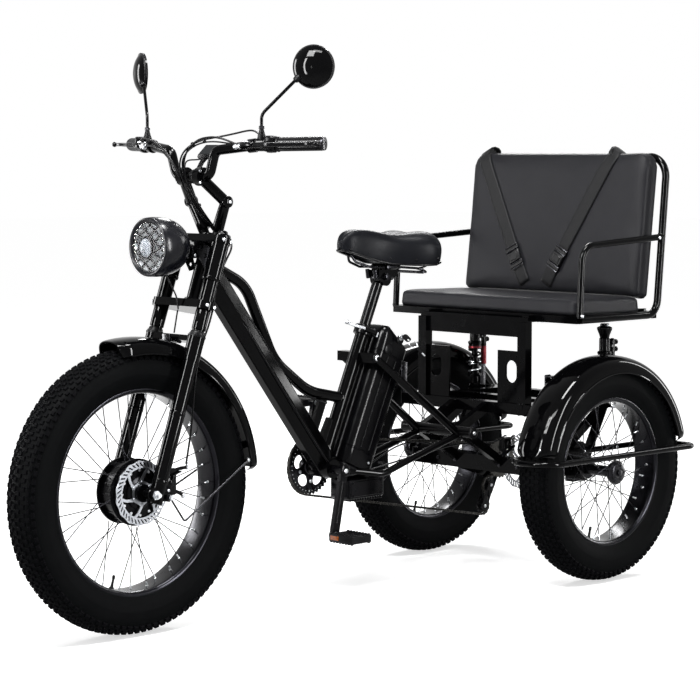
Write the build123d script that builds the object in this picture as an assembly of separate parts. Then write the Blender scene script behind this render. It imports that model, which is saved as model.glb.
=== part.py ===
from build123d import *
import math
import os

# Electric tricycle with one steered front wheel, two rear wheels and a rear bench.
# Millimetres. +X is the rider's left, +Z is up, and the machine drives towards -Y.
# While it is drawn, Y is the station: the distance behind the front axle.
# At export every piece moves forward by MID_STATION, so the origin lies on the
# ground under the middle of the machine.

# ---------------------------------------------------------------- driving sizes
WHEELBASE = 1380.0
TRACK = 665.0
FRONT_TYRE_OD = 702.0            # 24 x 4.0
REAR_TYRE_OD = 604.0             # 20 x 4.0
TYRE_SECTION_R = 50.5
FRONT_BEAD_R = 253.0
REAR_BEAD_R = 203.0
RIM_WIDTH = 76.0
HEAD_ANGLE = 19.0                # steering axis, degrees back from vertical
STEER_STATION, STEER_HEIGHT = 47.0, 335.0   # a point on the steering axis
SEAT_ANGLE = 23.8                # seat tube, degrees back from vertical
CRANK_STATION, CRANK_HEIGHT = 650.0, 346.0
CRANK_LENGTH = 170.0
CRANK_LEAN = 20.0                # left crank, degrees forward of straight down
BENCH_WIDTH = 700.0
GUARD_REAR_STATION = 1700.0      # centre line of the rear bar of the wheel guards
GUARD_TUBE_R = 8.0
FRONT_AXLE_R, REAR_AXLE_R, CRANK_AXLE_R, STEERER_R = 7.0, 10.0, 11.0, 15.0
RUNNING_GAP = 0.06               # on the radius, where a shaft turns in its bore

FRONT_R = FRONT_TYRE_OD / 2
REAR_R = REAR_TYRE_OD / 2
WHEEL_X = TRACK / 2
REAR_STATION = WHEELBASE
MID_STATION = (GUARD_REAR_STATION + GUARD_TUBE_R - FRONT_R) / 2
SIDES = {"left": 1, "right": -1}

os.makedirs("parts", exist_ok=True)
pieces = {}


# -------------------------------------------------------------------- helpers
def keep(name, *shapes):
    """Stores one node made of one or more solids."""
    solids = [s for shape in shapes for s in shape.solids()]
    pieces[name] = solids[0] if len(solids) == 1 else Compound(children=solids)


def rod(start, end, radius):
    """A round bar between two points."""
    line = Line(start, end)
    section = Plane(origin=line @ 0, z_dir=line % 0)
    return extrude(section * Circle(radius), amount=line.length)


def bent_tube(points, radius, bends):
    """A round bar along straight runs joined by tangent arcs."""
    path = FilletPolyline(*points, radius=bends)
    section = Plane(origin=path @ 0, z_dir=path % 0)
    return sweep(section * Circle(radius), path=path)


def cable(points, radius):
    """A round cord; each bend is as large as its two runs leave room for."""
    points = [Vector(*p) for p in points]
    bends = []
    for before, here, after in zip(points, points[1:], points[2:]):
        turn = math.radians((here - before).get_angle(after - here))
        run = min((here - before).length, (after - here).length)
        bends.append(0.45 * run / math.tan(turn / 2))
    return bent_tube(points, radius, bends)


def bar(start, end, wide, deep, side=(1, 0, 0)):
    """A rectangular bar between two points; its width lies along side."""
    line = Line(start, end)
    section = Plane(origin=line @ 0, x_dir=side, z_dir=line % 0)
    return extrude(section * Rectangle(wide, deep), amount=line.length)


def block(x, y, z):
    """A box from three (low, high) pairs."""
    size = [high - low for low, high in (x, y, z)]
    middle = [(high + low) / 2 for low, high in (x, y, z)]
    return Pos(*middle) * Box(*size)


def disc(radius, x_low, x_high, station, height):
    """A round plate with its axis along X."""
    middle = Pos((x_low + x_high) / 2, station, height)
    return middle * Rot(0, 90, 0) * Cylinder(radius, x_high - x_low)


def ring(outer, inner, x_low, x_high, station, height):
    """A round ring with its axis along X."""
    grown = disc(inner, x_low - 1, x_high + 1, station, height)
    return disc(outer, x_low, x_high, station, height) - grown


def largest(shape):
    """The biggest solid of a cut shape."""
    return max(shape.solids(), key=lambda solid: solid.volume)


def mirrored(shape):
    """The same shape on the other side of the machine."""
    return mirror(shape, about=Plane.YZ)


def both(shape):
    """A left-hand shape and its right-hand twin."""
    return [shape, mirrored(shape)]


def spun(section_xr, station, height, x_centre=0.0, sweep_deg=360.0, last_deg=0.0):
    """Turns a section drawn as (x, radius) about an axle along X.
    It ends at last_deg, measured from straight up towards the rear."""
    face = Plane(origin=(0, 0, 0), x_dir=(1, 0, 0), z_dir=(0, -1, 0)) * section_xr
    solid = revolve(face, Axis.X, sweep_deg)
    return Pos(x_centre, station, height) * Rot(-last_deg, 0, 0) * solid


# ------------------------------------------------------------ steering placement
tilt = math.radians(HEAD_ANGLE)
STEER_AXIS = (0, math.sin(tilt), math.cos(tilt))
STEERING = Plane(
    origin=(0, STEER_STATION, STEER_HEIGHT), x_dir=(1, 0, 0), z_dir=STEER_AXIS
)
# In STEERING, z runs up the steering axis and y points backwards and down.
LEG_X, LEG_Y = 80.0, -34.0
SLIDER_R, STANCHION_R, COVER_R, SLEEVE_R = 19.0, 15.0, 18.5, 22.5
SLIDER_TOP, BRACE_Z = 362.0, 392.0
LOWER_CROWN, UPPER_CROWN = (468.0, 488.0), (636.0, 654.0)
COVER_TOP = 545.0
HEAD_TUBE = (500.0, 626.0)
HEAD_TUBE_R = 23.0

lean = math.radians(SEAT_ANGLE)
SEAT_FOOT = (0, 640.0, 356.0)
SEAT_AXIS = (0, math.sin(lean), math.cos(lean))


def seat_point(along, behind, x=0.0):
    """A point measured along the seat tube and square to it, towards the rear."""
    station = SEAT_FOOT[1] + along * math.sin(lean) + behind * math.cos(lean)
    height = SEAT_FOOT[2] + along * math.cos(lean) - behind * math.sin(lean)
    return (x, station, height)


# ---------------------------------------------------------------------- wheels
SHAFT_END_X = 28.0               # inner end of each rear half shaft
COG_X, COG_R, COG_PITCH, COG_STEP = -56.0, 36.0, 6.6, 6.5   # the cog that drives


def tyre(outer_r, bead_r, x_centre, station):
    core_r = outer_r - TYRE_SECTION_R
    section = Pos(0, core_r) * Circle(TYRE_SECTION_R)
    section -= Pos(0, bead_r / 2) * Rectangle(4 * TYRE_SECTION_R, bead_r)
    return spun(section, station, outer_r, x_centre)


def rim(outer_r, bead_r, x_centre, station):
    """A wide channel: a thin floor with a low bead wall at each edge."""
    floor = Pos(0, bead_r - 9) * Rectangle(RIM_WIDTH, 6)
    walls = [Pos(s * (RIM_WIDTH / 2 - 3), bead_r - 6) * Rectangle(6, 12) for s in (-1, 1)]
    return spun(floor + walls, station, outer_r, x_centre)


def spokes(count, flange_r, flange_x, rim_r, x_centre, station, height, lean_deg=24):
    """Crossed spokes: each pair leaves a flange and leans opposite ways."""
    made = []
    for i in range(count):
        side = 1 if i % 2 else -1
        way = 1 if i % 4 < 2 else -1
        at_rim = math.radians(360 / count * i)
        at_hub = at_rim + math.radians(lean_deg) * way
        hub_x = side * (flange_x + way * 2.5)
        start = (
            x_centre + hub_x,
            station + flange_r * math.sin(at_hub),
            height + flange_r * math.cos(at_hub),
        )
        end = (
            x_centre + side * (6 + way * 2.5),
            station + rim_r * math.sin(at_rim),
            height + rim_r * math.cos(at_rim),
        )
        made.append(rod(start, end, 1.2))
    return made


def brake_disc(hub_r, x_low, station, height):
    """A steel rotor: a braking band on six slanted arms round a hub of hub_r."""
    thick, outer_r, band_r = 2.5, 80, 65
    x_high = x_low + thick
    rotor = ring(outer_r, band_r, x_low, x_high, station, height)
    rotor += ring(hub_r + 9, hub_r, x_low, x_high, station, height)
    for i in range(6):
        arm = bar((x_low + thick / 2, 8, hub_r + 5), (x_low + thick / 2, -14, band_r + 4), thick, 8)
        rotor += Pos(0, station, height) * Rot(60 * i, 0, 0) * arm
    return rotor


def front_wheel():
    keep("front_tyre", tyre(FRONT_R, FRONT_BEAD_R, 0, 0))
    keep("front_rim", rim(FRONT_R, FRONT_BEAD_R, 0, 0))
    drum = disc(72, -48, 34, 0, FRONT_R)
    drum = fillet(drum.edges().filter_by(GeomType.CIRCLE), 12)
    flanges = [disc(82, x, x + 4, 0, FRONT_R) for x in (-30, 20)]
    neck = disc(22, -58, 52, 0, FRONT_R)
    hub = drum + flanges + neck
    hub -= disc(FRONT_AXLE_R + RUNNING_GAP, -60, 60, 0, FRONT_R)
    keep("hub_motor", hub)
    keep("front_spokes", *spokes(36, 84, 24, 240.5, 0, 0, FRONT_R, 14))
    keep("front_brake_disc", brake_disc(22, 41, 0, FRONT_R))


def rear_wheel(side, sign):
    x = sign * WHEEL_X
    keep(f"{side}_rear_tyre", tyre(REAR_R, REAR_BEAD_R, x, REAR_STATION))
    keep(f"{side}_rear_rim", rim(REAR_R, REAR_BEAD_R, x, REAR_STATION))
    keep(
        f"{side}_rear_spokes",
        *spokes(36, 30.5, 44, 190.5, x, REAR_STATION, REAR_R, 60),
    )
    centre = (REAR_STATION, REAR_R)
    hub = disc(15, WHEEL_X - 50, WHEEL_X + 50, *centre)
    for flange_x in (-46, 42):
        hub += disc(27, WHEEL_X + flange_x, WHEEL_X + flange_x + 4, *centre)
    cap = disc(33, WHEEL_X + 46, WHEEL_X + 62, *centre)
    hub += chamfer(cap.edges().filter_by(GeomType.CIRCLE), 5)
    hub += disc(19, WHEEL_X - 60, WHEEL_X - 50, *centre)
    hub += disc(REAR_AXLE_R, SHAFT_END_X, WHEEL_X - 60, *centre)
    keep(f"{side}_rear_hub", hub if sign > 0 else mirrored(hub))


def rear_cogs():
    """Seven cogs on a carrier, on the right half shaft, the largest nearest the middle."""
    cogs = disc(15.5, -78, -33, REAR_STATION, REAR_R)
    for place in range(-3, 4):
        x = COG_X + place * COG_PITCH
        radius = COG_R + place * COG_STEP
        cogs += disc(radius, x - 1.1, x + 1.1, REAR_STATION, REAR_R)
    cogs -= disc(REAR_AXLE_R, -80, -20, REAR_STATION, REAR_R)
    keep("rear_cogs", cogs)


front_wheel()
for side, sign in SIDES.items():
    rear_wheel(side, sign)
rear_cogs()
keep("rear_brake_disc", brake_disc(REAR_AXLE_R, 44, REAR_STATION, REAR_R))


# ------------------------------------------------------------------------ fork
def on_leg(x, low, high, radius):
    """A round bar along a fork leg between two heights in the STEERING frame."""
    middle = Pos(x, LEG_Y, (low + high) / 2)
    return STEERING * middle * Cylinder(radius, high - low)


def crown(low, high):
    """A plate that joins both legs to the steerer."""
    circles = [
        Circle(28),
        Pos(LEG_X, LEG_Y) * Circle(SLEEVE_R + 2),
        Pos(-LEG_X, LEG_Y) * Circle(SLEEVE_R + 2),
    ]
    plan = make_hull([edge for circle in circles for edge in circle.edges()])
    return STEERING * Pos(0, 0, low) * extrude(plan, high - low)


def fork():
    """Suspension fork: axle, lower legs with their bridge, upper legs and crowns."""
    axle = disc(FRONT_AXLE_R, -98, 98, 0, FRONT_R)
    for x in (-94, 94):
        axle += disc(12, x - 5, x + 5, 0, FRONT_R)
    keep("front_axle", axle)
    sliders = STEERING * Pos(0, LEG_Y, BRACE_Z) * Box(2 * LEG_X + 30, 30, 14)
    for x in (LEG_X, -LEG_X):
        sliders += on_leg(x, -20, BRACE_Z, SLIDER_R)
        sliders += on_leg(x, SLIDER_TOP - 24, BRACE_Z + 7, SLIDER_R + 2)
        sliders += disc(17, x - 9, x + 9, 0, FRONT_R)
        sliders += bar((x, 2, FRONT_R), (x, 52, FRONT_R - 11), 18, 24)
    keep("fork_sliders", sliders - axle)
    uppers = []
    for x in (LEG_X, -LEG_X):
        upper = on_leg(x, BRACE_Z + 7, LOWER_CROWN[0], STANCHION_R)
        uppers.append(upper)
        cover = on_leg(x, LOWER_CROWN[1], COVER_TOP, COVER_R)
        uppers.append(cover + on_leg(x, COVER_TOP, UPPER_CROWN[0], SLEEVE_R))
    keep("fork_stanchions", *uppers)
    steerer = Cylinder(STEERER_R, UPPER_CROWN[0] - LOWER_CROWN[1])
    steerer = STEERING * Pos(0, 0, (LOWER_CROWN[1] + UPPER_CROWN[0]) / 2) * steerer
    cap = STEERING * Pos(0, 0, UPPER_CROWN[1] + 6) * Cylinder(24, 12)
    keep("fork_crowns", crown(*LOWER_CROWN) + crown(*UPPER_CROWN) + steerer + cap)


def mudguard(station, height, outer_r, half_width, first_deg, last_deg, x_centre, depth):
    """A rounded sheet bent over a wheel; angles run from straight up to the rear."""
    thick, shoulder = 3.0, 0.6 * half_width
    outline = Pos(0, outer_r - depth / 2) * Rectangle(2 * half_width, depth)
    top = [v for v in outline.vertices() if v.Y > outer_r - 1]
    outline = fillet(top, shoulder)
    inside = Pos(0, outer_r - thick - depth / 2) * Rectangle(2 * (half_width - thick), depth)
    top = [v for v in inside.vertices() if v.Y > outer_r - thick - 1]
    inside = fillet(top, shoulder - thick)
    section = outline - inside
    return spun(section, station, height, x_centre, last_deg - first_deg, last_deg)


def front_mudguard():
    """The front mudguard and the bent wire on each side that holds its rear end."""
    shell = mudguard(6, 350, 377, 57, -11, 86, 0, 42)
    shell -= STEERING * Pos(0, LEG_Y, BRACE_Z + 13) * Box(300, 400, 40)
    stay = bent_tube([(96.5, 46, 340), (94, 91, 277), (60.5, 332, 404)], 2.5, 9)
    lug = disc(7, 89.2, 99, 46, 340)
    keep("front_mudguard", largest(shell) + both(stay + lug))


def headlight():
    """Round lamp on a two-armed bracket between the fork sleeves."""
    lamp_station, lamp_height, lamp_r = 58.0, 942.0, 73.0
    depth, face_depth, lens_r, arm_x = 118.0, 4.0, 64.0, 27.5
    front = Polyline((0, 0), (lamp_r, 0), (lamp_r, 42))
    back = ThreePointArc((lamp_r, 42), (lamp_r * 0.78, 84), (22, depth))
    end = Polyline((22, depth), (0, depth), (0, 0))
    half = make_face(front + back + end) - Rectangle(2 * lens_r, 2 * face_depth)
    upright = Plane(origin=(0, lamp_station, lamp_height), x_dir=(1, 0, 0), z_dir=(0, 0, 1))
    shell = revolve(upright * half, Axis((0, lamp_station, lamp_height), (0, 1, 0)))
    back_station = lamp_station + depth
    bracket = block((-30, 30), (back_station - 1, back_station + 5), (912, 943))
    for x in (-arm_x, arm_x):
        arm = block((x - 2.5, x + 2.5), (back_station, 231), (912, 943))
        bracket += arm - disc(8, x - 4, x + 4, back_station + 20, 928)
    keep("headlight", shell + bracket)
    lens = Pos(0, lamp_station + face_depth, lamp_height) * Rot(90, 0, 0)
    lens *= Cylinder(lens_r - 0.4, 3.5, align=(Align.CENTER, Align.CENTER, Align.MIN))
    keep("headlight_lens", lens)


HANDLE_POINTS = [
    (0, 204, 1112),
    (62, 204, 1112),
    (84, 204, 1176),
    (216, 237, 1190),
    (361, 305, 1192),
]
BAR_R, GRIP_R, GRIP_LENGTH = 12.5, 17.0, 120.0
RISER_POINTS = [(22, 262, 965), (64, 254, 1050), (36, 206, 1104)]


def bar_end(back_from_end):
    """A point on the left end run of the handlebar, measured from its tip."""
    tip, inner = Vector(*HANDLE_POINTS[-1]), Vector(*HANDLE_POINTS[-2])
    return tip + (inner - tip).normalized() * back_from_end


def handlebar():
    """The bar, its two grips and the two bowed risers that carry it."""
    left = [Vector(*p) for p in HANDLE_POINTS]
    whole = [Vector(-p.X, p.Y, p.Z) for p in reversed(left[1:])] + left[1:]
    keep("handlebar", bent_tube(whole, BAR_R, 26))
    grip = rod(bar_end(GRIP_LENGTH), bar_end(-3), GRIP_R)
    grip -= rod(bar_end(GRIP_LENGTH + 1), bar_end(0), BAR_R)
    keep("grips", *both(grip))
    foot, knee, top = RISER_POINTS
    riser = rod(foot, knee, 13) + rod(knee, top, 14) + Pos(*knee) * Sphere(16)
    riser += disc(23, 22, 42, 204, 1112)
    riser += block((8, 36), (245, 279), (946, 968))
    riser -= disc(BAR_R, 0, 60, 204, 1112)
    riser -= STEERING * Pos(0, 0, UPPER_CROWN[1] - 14) * Box(200, 200, 52)
    keep("handlebar_risers", *both(largest(riser)))


def hand_controls():
    """On each side a switch pod by the grip and a brake lever with a long blade."""
    tip, inner, root = (Vector(*HANDLE_POINTS[i]) for i in (-1, -2, -3))
    along = (inner - root).normalized()
    forward = Vector(along.Y, -along.X, 0).normalized()
    middle = inner - along * 26
    clamp = rod(middle - along * 9, middle + along * 9, 17)
    body = bar(middle + forward * 10, middle + forward * 36, 20, 16, side=along)
    reach = Vector(0.4245, -0.905, 0)
    blade = bent_tube(
        [
            middle + forward * 32,
            bar_end(128) + reach * 44,
            bar_end(30) + reach * 36,
            bar_end(2) + reach * 48,
        ],
        4.5,
        [40, 60],
    )
    ball = Pos(*(bar_end(2) + reach * 48)) * Sphere(7)
    lever = clamp + body + blade + ball
    lever -= rod(root, inner, BAR_R)
    pod = rod(bar_end(146), bar_end(GRIP_LENGTH + 2), 20)
    pod -= rod(bar_end(150), bar_end(100), BAR_R)
    keep("hand_controls", *both(largest(lever)), *both(pod))


MIRROR_CENTRE, MIRROR_R = Vector(322, 312, 1375), 52.0
MIRROR_TURN = 26.0               # its back faces forward and this far outward


def mirrors():
    """Round mirrors on bent stalks that stand on the bends of the handlebar."""
    turn = math.radians(MIRROR_TURN)
    back = Vector(math.sin(turn), -math.cos(turn), 0)
    outward = Vector(math.cos(turn), math.sin(turn), 0)
    glass_depth, edge, dome = 2.0, 7.0, 17.0
    section = make_face(
        Polyline((0, 0), (MIRROR_R, 0), (MIRROR_R, edge))
        + ThreePointArc((MIRROR_R, edge), (MIRROR_R * 0.72, edge + dome * 0.62), (0, edge + dome))
        + Line((0, edge + dome), (0, 0))
    )
    section -= Rectangle(2 * (MIRROR_R - 4), 2 * glass_depth)
    face = Plane(origin=MIRROR_CENTRE, x_dir=outward, z_dir=back)
    shell = face * revolve(Plane.XZ * section, Axis.Z)
    glass = face * Cylinder(
        MIRROR_R - 4, glass_depth, align=(Align.CENTER, Align.CENTER, Align.MIN)
    )
    foot = Vector(*HANDLE_POINTS[-2]) + Vector(0, 0, 10)
    rim_point = MIRROR_CENTRE - outward * 40 + Vector(0, 0, -27) + back * 9
    stalk = bent_tube([foot, (foot.X, foot.Y, 1262), rim_point], 4, 28)
    base = Pos(foot.X, foot.Y, 1206) * Cylinder(8, 26)
    holder = shell + stalk + base
    holder += rod(bar_end(169), bar_end(152), 16.5)
    holder -= bar_space()
    keep("mirrors", *both(largest(holder)))
    keep("mirror_glasses", *both(glass))


def bar_space():
    """The room that the left half of the handlebar takes."""
    return bent_tube([Vector(*p) for p in HANDLE_POINTS], BAR_R, 26)


def display():
    """Speed display: a shallow tilted box on an arm from the middle of the bar."""
    box = fillet(Box(62, 46, 16).edges().filter_by(Axis.Z), 6)
    screen = Pos(32, 234, 1172) * Rot(42, 0, 0) * box
    arm = bar((12, 206, 1124), (26, 232, 1168), 12, 8)
    clamp = disc(18, 6, 18, 204, 1112)
    keep("display", screen + arm + clamp - disc(BAR_R, 0, 40, 204, 1112))


def front_caliper():
    """Brake caliper round the front disc, carried by the left fork leg."""
    body = block((36, 57), (50, 98), (338, 404)) - block((39, 46), (0, 90), (330, 420))
    body += bar((50, 90, 396), (50, 140, 402), 8, 10)
    body += bar((50, 90, 348), (50, 126, 332), 8, 8)
    body += block((52, 64), (28, 60), (372, 396))
    leg = on_leg(LEG_X, -20, BRACE_Z, SLIDER_R)
    keep("front_caliper", largest(body - leg))


def control_cables():
    """Brake and lamp cables, each held along its whole way on the steered part."""
    brake_way = [
        (176, 202, 1188),
        (122, 176, 1210),
        (56, 172, 1204),
        (4, 176, 1172),
        (-14, 182, 1120),
        (-10, 196, 1060),
        (0, 236, 1008),
        (8, 278, 978),
        (34, 296, 956),
        (56, 282, 936),
        (56, 236, 866),
        (58, 219, 806),
        (58, 214, 778),
        (62, 196, 740),
        (64, 176, 706),
        (63, 152, 616),
        (58, 146, 500),
        (50, 134, 410),
    ]
    lamp_way = [(0, 118, 869), (4, 132, 842), (14, 139, 816), (20, 137, 788)]
    brace = rod((-18, 167, 783), (-14, 152, 728), 2)
    keep("control_cables", cable(brake_way, 2.5), cable(lamp_way, 2), brace)


fork()
front_mudguard()
headlight()
handlebar()
hand_controls()
mirrors()
display()
front_caliper()
control_cables()


# ------------------------------------------------------------------ main frame
def station_pair(points, x=0.0):
    """(station, height) pairs as points at one x."""
    return [(x, station, height) for station, height in points]


DOWN_TUBE = ((258, 862), (644, 362))
TOP_TUBE = [(262, 892), (374, 838), (470, 640), (590, 552), (716, 526)]
SEAT_TUBE_R, SEAT_TUBE_LENGTH = 17.5, 389.0
CRANK_SHELL_R = 25.0


def main_frame():
    low, high = HEAD_TUBE
    head = STEERING * Pos(0, 0, (low + high) / 2) * Cylinder(HEAD_TUBE_R, high - low)
    for z in (low - 4, high + 4):
        head += STEERING * Pos(0, 0, z) * Cylinder(27, 8)
    start, end = [(0, *p) for p in DOWN_TUBE]
    line = Line(start, end)
    section = Polygon((26, 0), (16, 33), (-16, 33), (-26, 0), (-16, -33), (16, -33))
    down = extrude(
        Plane(origin=start, x_dir=(1, 0, 0), z_dir=line % 0) * fillet(section.vertices(), 6),
        amount=line.length,
    )
    shell = disc(CRANK_SHELL_R, -36, 36, CRANK_STATION, CRANK_HEIGHT)
    bore = disc(CRANK_AXLE_R + RUNNING_GAP, -40, 40, CRANK_STATION, CRANK_HEIGHT)
    head_bore = Cylinder(STEERER_R + RUNNING_GAP, high - low + 40)
    head_bore = STEERING * Pos(0, 0, (low + high) / 2) * head_bore
    brace = bar((0, 608, 446), (0, 644, 530), 12, 24)
    keep("down_tube", head + down + shell + brace - bore - head_bore)
    top = bent_tube(station_pair(TOP_TUBE), 14.5, [110, 170, 190])
    seat = rod(seat_point(0, 0), seat_point(SEAT_TUBE_LENGTH, 0), SEAT_TUBE_R)
    collar = rod(seat_point(365, 0), seat_point(SEAT_TUBE_LENGTH, 0), 22)
    gusset = bar(seat_point(40, -22), seat_point(120, -14), 14, 30)
    seat = seat + collar + gusset
    seat -= shell + bore + down
    top -= seat + head + down + brace
    keep("seat_tube", largest(seat))
    keep("top_tube", largest(top))


DECK_STATION, DECK_REAR, DECK_LOW, DECK_HIGH = 1226.0, 1560.0, 455.0, 485.0
STAY_CROSS = (1085.0, 412.0)
STAY_TOP, STAY_END = (62, 776, 632), (76, 1085, 404)


def rear_stays():
    """Seat stays and chain stays, joined by a cross tube behind the battery."""
    station, height = STAY_CROSS
    stays = Part() + rod((-130, station, height), (130, station, height), 15)
    upper = rod(STAY_TOP, STAY_END, 11)
    lower_way = [
        (28, 674, 340),
        (34, 724, 334),
        (62, 806, 321),
        (74, 910, 357),
        (76, station, height - 8),
    ]
    lower = bent_tube(lower_way, 9, [60, 70, 160])
    plate = bar((60, station, height), (60, 1211, 470), 20, 26)
    for part in (upper, lower, plate):
        stays += both(part)
    seat = rod(seat_point(0, 0), seat_point(SEAT_TUBE_LENGTH, 0), SEAT_TUBE_R)
    shell = disc(CRANK_SHELL_R, -36, 36, CRANK_STATION, CRANK_HEIGHT)
    stays -= battery_plane() * Box(92, 114, 390)
    _, top_station, top_height = STAY_TOP
    lug_ends = [(x, top_station, top_height) for x in (-66, 66)]
    lug = bar(*lug_ends, 30, 26, side=(0, 1, 0))
    deck_front = bar((-268, DECK_STATION, 470), (268, DECK_STATION, 470), 30, 30, (0, 1, 0))
    stays = stays + lug - seat - shell - deck_front
    keep("rear_stays", stays)


def battery_plane():
    """A plane at the middle of the battery case; its z runs up the case."""
    return Plane(origin=seat_point(218, 89), x_dir=(1, 0, 0), z_dir=SEAT_AXIS)


def battery():
    """Battery case behind the seat tube and the controller below it."""
    body = Box(90, 112, 388)
    edges = body.edges().filter_by(Axis.Z)
    body = fillet(edges, 22)
    body = fillet(body.faces().sort_by(Axis.Z)[-1].edges(), 14)
    keep("battery_case", battery_plane() * body)
    keep("controller_case", block((-37, 37), (705, 836), (254, 316)))


# ------------------------------------------------------------------ rear frame
POST_X = 188.0
BEAM_STATION, BEAM_HEIGHT = 1262.0, 306.0
BLOCK_X = 246.0                   # middle of each axle bearing block
SHOCK_X, SHOCK_STATION = 246.0, 1497.0
SHOCK_LOW = 486.0
BENCH_HEIGHT = 721.0
APRON_LOW, APRON_HIGH = 668.0, BENCH_HEIGHT + 1
POST_TOP = BENCH_HEIGHT - 11


def deck():
    """The level subframe with the two posts and the apron that carry the bench."""
    height = (DECK_LOW + DECK_HIGH) / 2
    frame = Part()
    for station in (DECK_STATION, DECK_REAR):
        frame += bar((-268, station, height), (268, station, height), 30, 30, (0, 1, 0))
    frame += bar((-POST_X, 1390, height), (POST_X, 1390, height), 30, 24, (0, 1, 0))
    across = DECK_STATION - 3, DECK_STATION + 3
    frame += block((-POST_X - 15, POST_X + 15), across, (APRON_LOW, APRON_HIGH))
    for side in (-1, 1):
        x = side * POST_X
        frame += bar((x, DECK_STATION, height), (x, DECK_REAR, height), 30, 30)
        post = DECK_STATION - 13, DECK_STATION + 13
        frame += block((x - 15, x + 15), post, (DECK_HIGH, POST_TOP))
        gusset = block(sorted((x - side * 15, x - side * 96)), across, (DECK_HIGH, 629))
        slot = Rot(90, 0, 0) * extrude(SlotOverall(62, 40, rotation=90), 20, both=True)
        frame += gusset - Pos(x - side * 46, DECK_STATION, 572) * slot
    for x in (-60, 60):
        for station in (DECK_STATION, DECK_REAR):
            frame -= Pos(x, station, height) * Cylinder(4.25, 60)
    keep("rear_deck", frame)


def cross_beam():
    """The square beam in front of the rear axle."""
    start, end = (-250, BEAM_STATION, BEAM_HEIGHT), (250, BEAM_STATION, BEAM_HEIGHT)
    return bar(start, end, 42, 42, (0, 1, 0))


def axle_carriage():
    """Cross beam and side frames that carry the axle blocks and the dampers."""
    frame = cross_beam()
    for x in (-BLOCK_X, BLOCK_X):
        frame += bar((x, BEAM_STATION, BEAM_HEIGHT), (x, 1350, 303), 14, 40)
        frame += bar((x, BEAM_STATION, BEAM_HEIGHT + 10), (x, SHOCK_STATION, SHOCK_LOW - 16), 14, 24)
        frame += bar((x, 1410, 310), (x, SHOCK_STATION, SHOCK_LOW - 16), 14, 24)
        frame += disc(20, x - 7, x + 7, SHOCK_STATION, SHOCK_LOW - 10)
    stays = [
        bar((s * 84, STAY_CROSS[0] + 12, STAY_CROSS[1] - 6), (s * 84, BEAM_STATION, BEAM_HEIGHT), 22, 22)
        for s in (-1, 1)
    ]
    cross = rod((-130, *STAY_CROSS), (130, *STAY_CROSS), 15)
    frame += stays
    frame -= cross
    frame -= [disc(10.3, x - 20, x + 20, REAR_STATION, REAR_R) for x in (-BLOCK_X, BLOCK_X)]
    keep("axle_carriage", frame)
    blocks = []
    for x in (-BLOCK_X, BLOCK_X):
        body = disc(31, x - 14, x + 14, REAR_STATION, 345)
        body += block((x - 14, x + 14), (REAR_STATION - 31, REAR_STATION + 31), (266, 345))
        body -= disc(10.3, x - 20, x + 20, REAR_STATION, REAR_R)
        blocks.append(body - frame)
    keep("axle_blocks", *[largest(b) for b in blocks])


def wheel_guards():
    """A closed tube loop round each rear wheel, just above the axle."""
    front, inner, outer, height = 1066.0, 268.3, 412.0, 350.0
    corners = [
        (inner, 1300),
        (inner, front),
        (outer, front),
        (outer, GUARD_REAR_STATION),
        (inner, GUARD_REAR_STATION),
        (inner, 1460),
    ]
    path = [(x, station, height) for x, station in corners]
    loop = bent_tube(path, GUARD_TUBE_R, [50, 60, 30, 30]) + rod(path[-1], path[0], GUARD_TUBE_R)
    keep("wheel_guards", *both(loop))


def rear_mudguards():
    shell = mudguard(REAR_STATION + 8, REAR_R - 1, 319, 60, -78, 77, WHEEL_X + 1, 50)
    keep("rear_mudguards", *both(shell))


def dampers():
    """A sprung damper on each side between the carriage and the bench."""
    foot = Align.CENTER, Align.CENTER, Align.MIN
    unit = Pos(0, 0, SHOCK_LOW + 11) * Box(28, 18, 6, align=foot)
    unit += Pos(0, 0, SHOCK_LOW + 11) * Cylinder(9, 25, align=foot)
    unit += Pos(0, 0, SHOCK_LOW + 30) * Cylinder(19, 95, align=foot)
    unit += Pos(0, 0, SHOCK_LOW + 125) * Cylinder(21, 45, align=foot)
    unit += Pos(0, 0, SHOCK_LOW + 170) * Cone(14, 22, 30, align=foot)
    unit += Pos(0, 0, SHOCK_LOW + 200) * Box(20, 20, 9, align=foot)
    unit = Pos(SHOCK_X, SHOCK_STATION, 0) * unit
    for x in (SHOCK_X - 11, SHOCK_X + 11):
        unit += block((x - 3, x + 3), (SHOCK_STATION - 9, SHOCK_STATION + 9), (470, SHOCK_LOW + 17))
    keep("dampers", *both(unit))


# ----------------------------------------------------------------------- bench
BACK_THICK, BACK_LEAN = 50.0, math.radians(6.5)
BACK = Plane(
    origin=(0, 1581.7, 976.9), x_dir=(1, 0, 0), z_dir=(0, math.sin(BACK_LEAN), math.cos(BACK_LEAN))
)
BENCH_X = 347.0
BENCH_TUBE_R = 10.5
BENCH_FRONT, BENCH_BACK = 1268.0, 1600.0
BACK_TOP = (1640.0, 1160.0)
ARM_TUBE_R = 9.0


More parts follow.
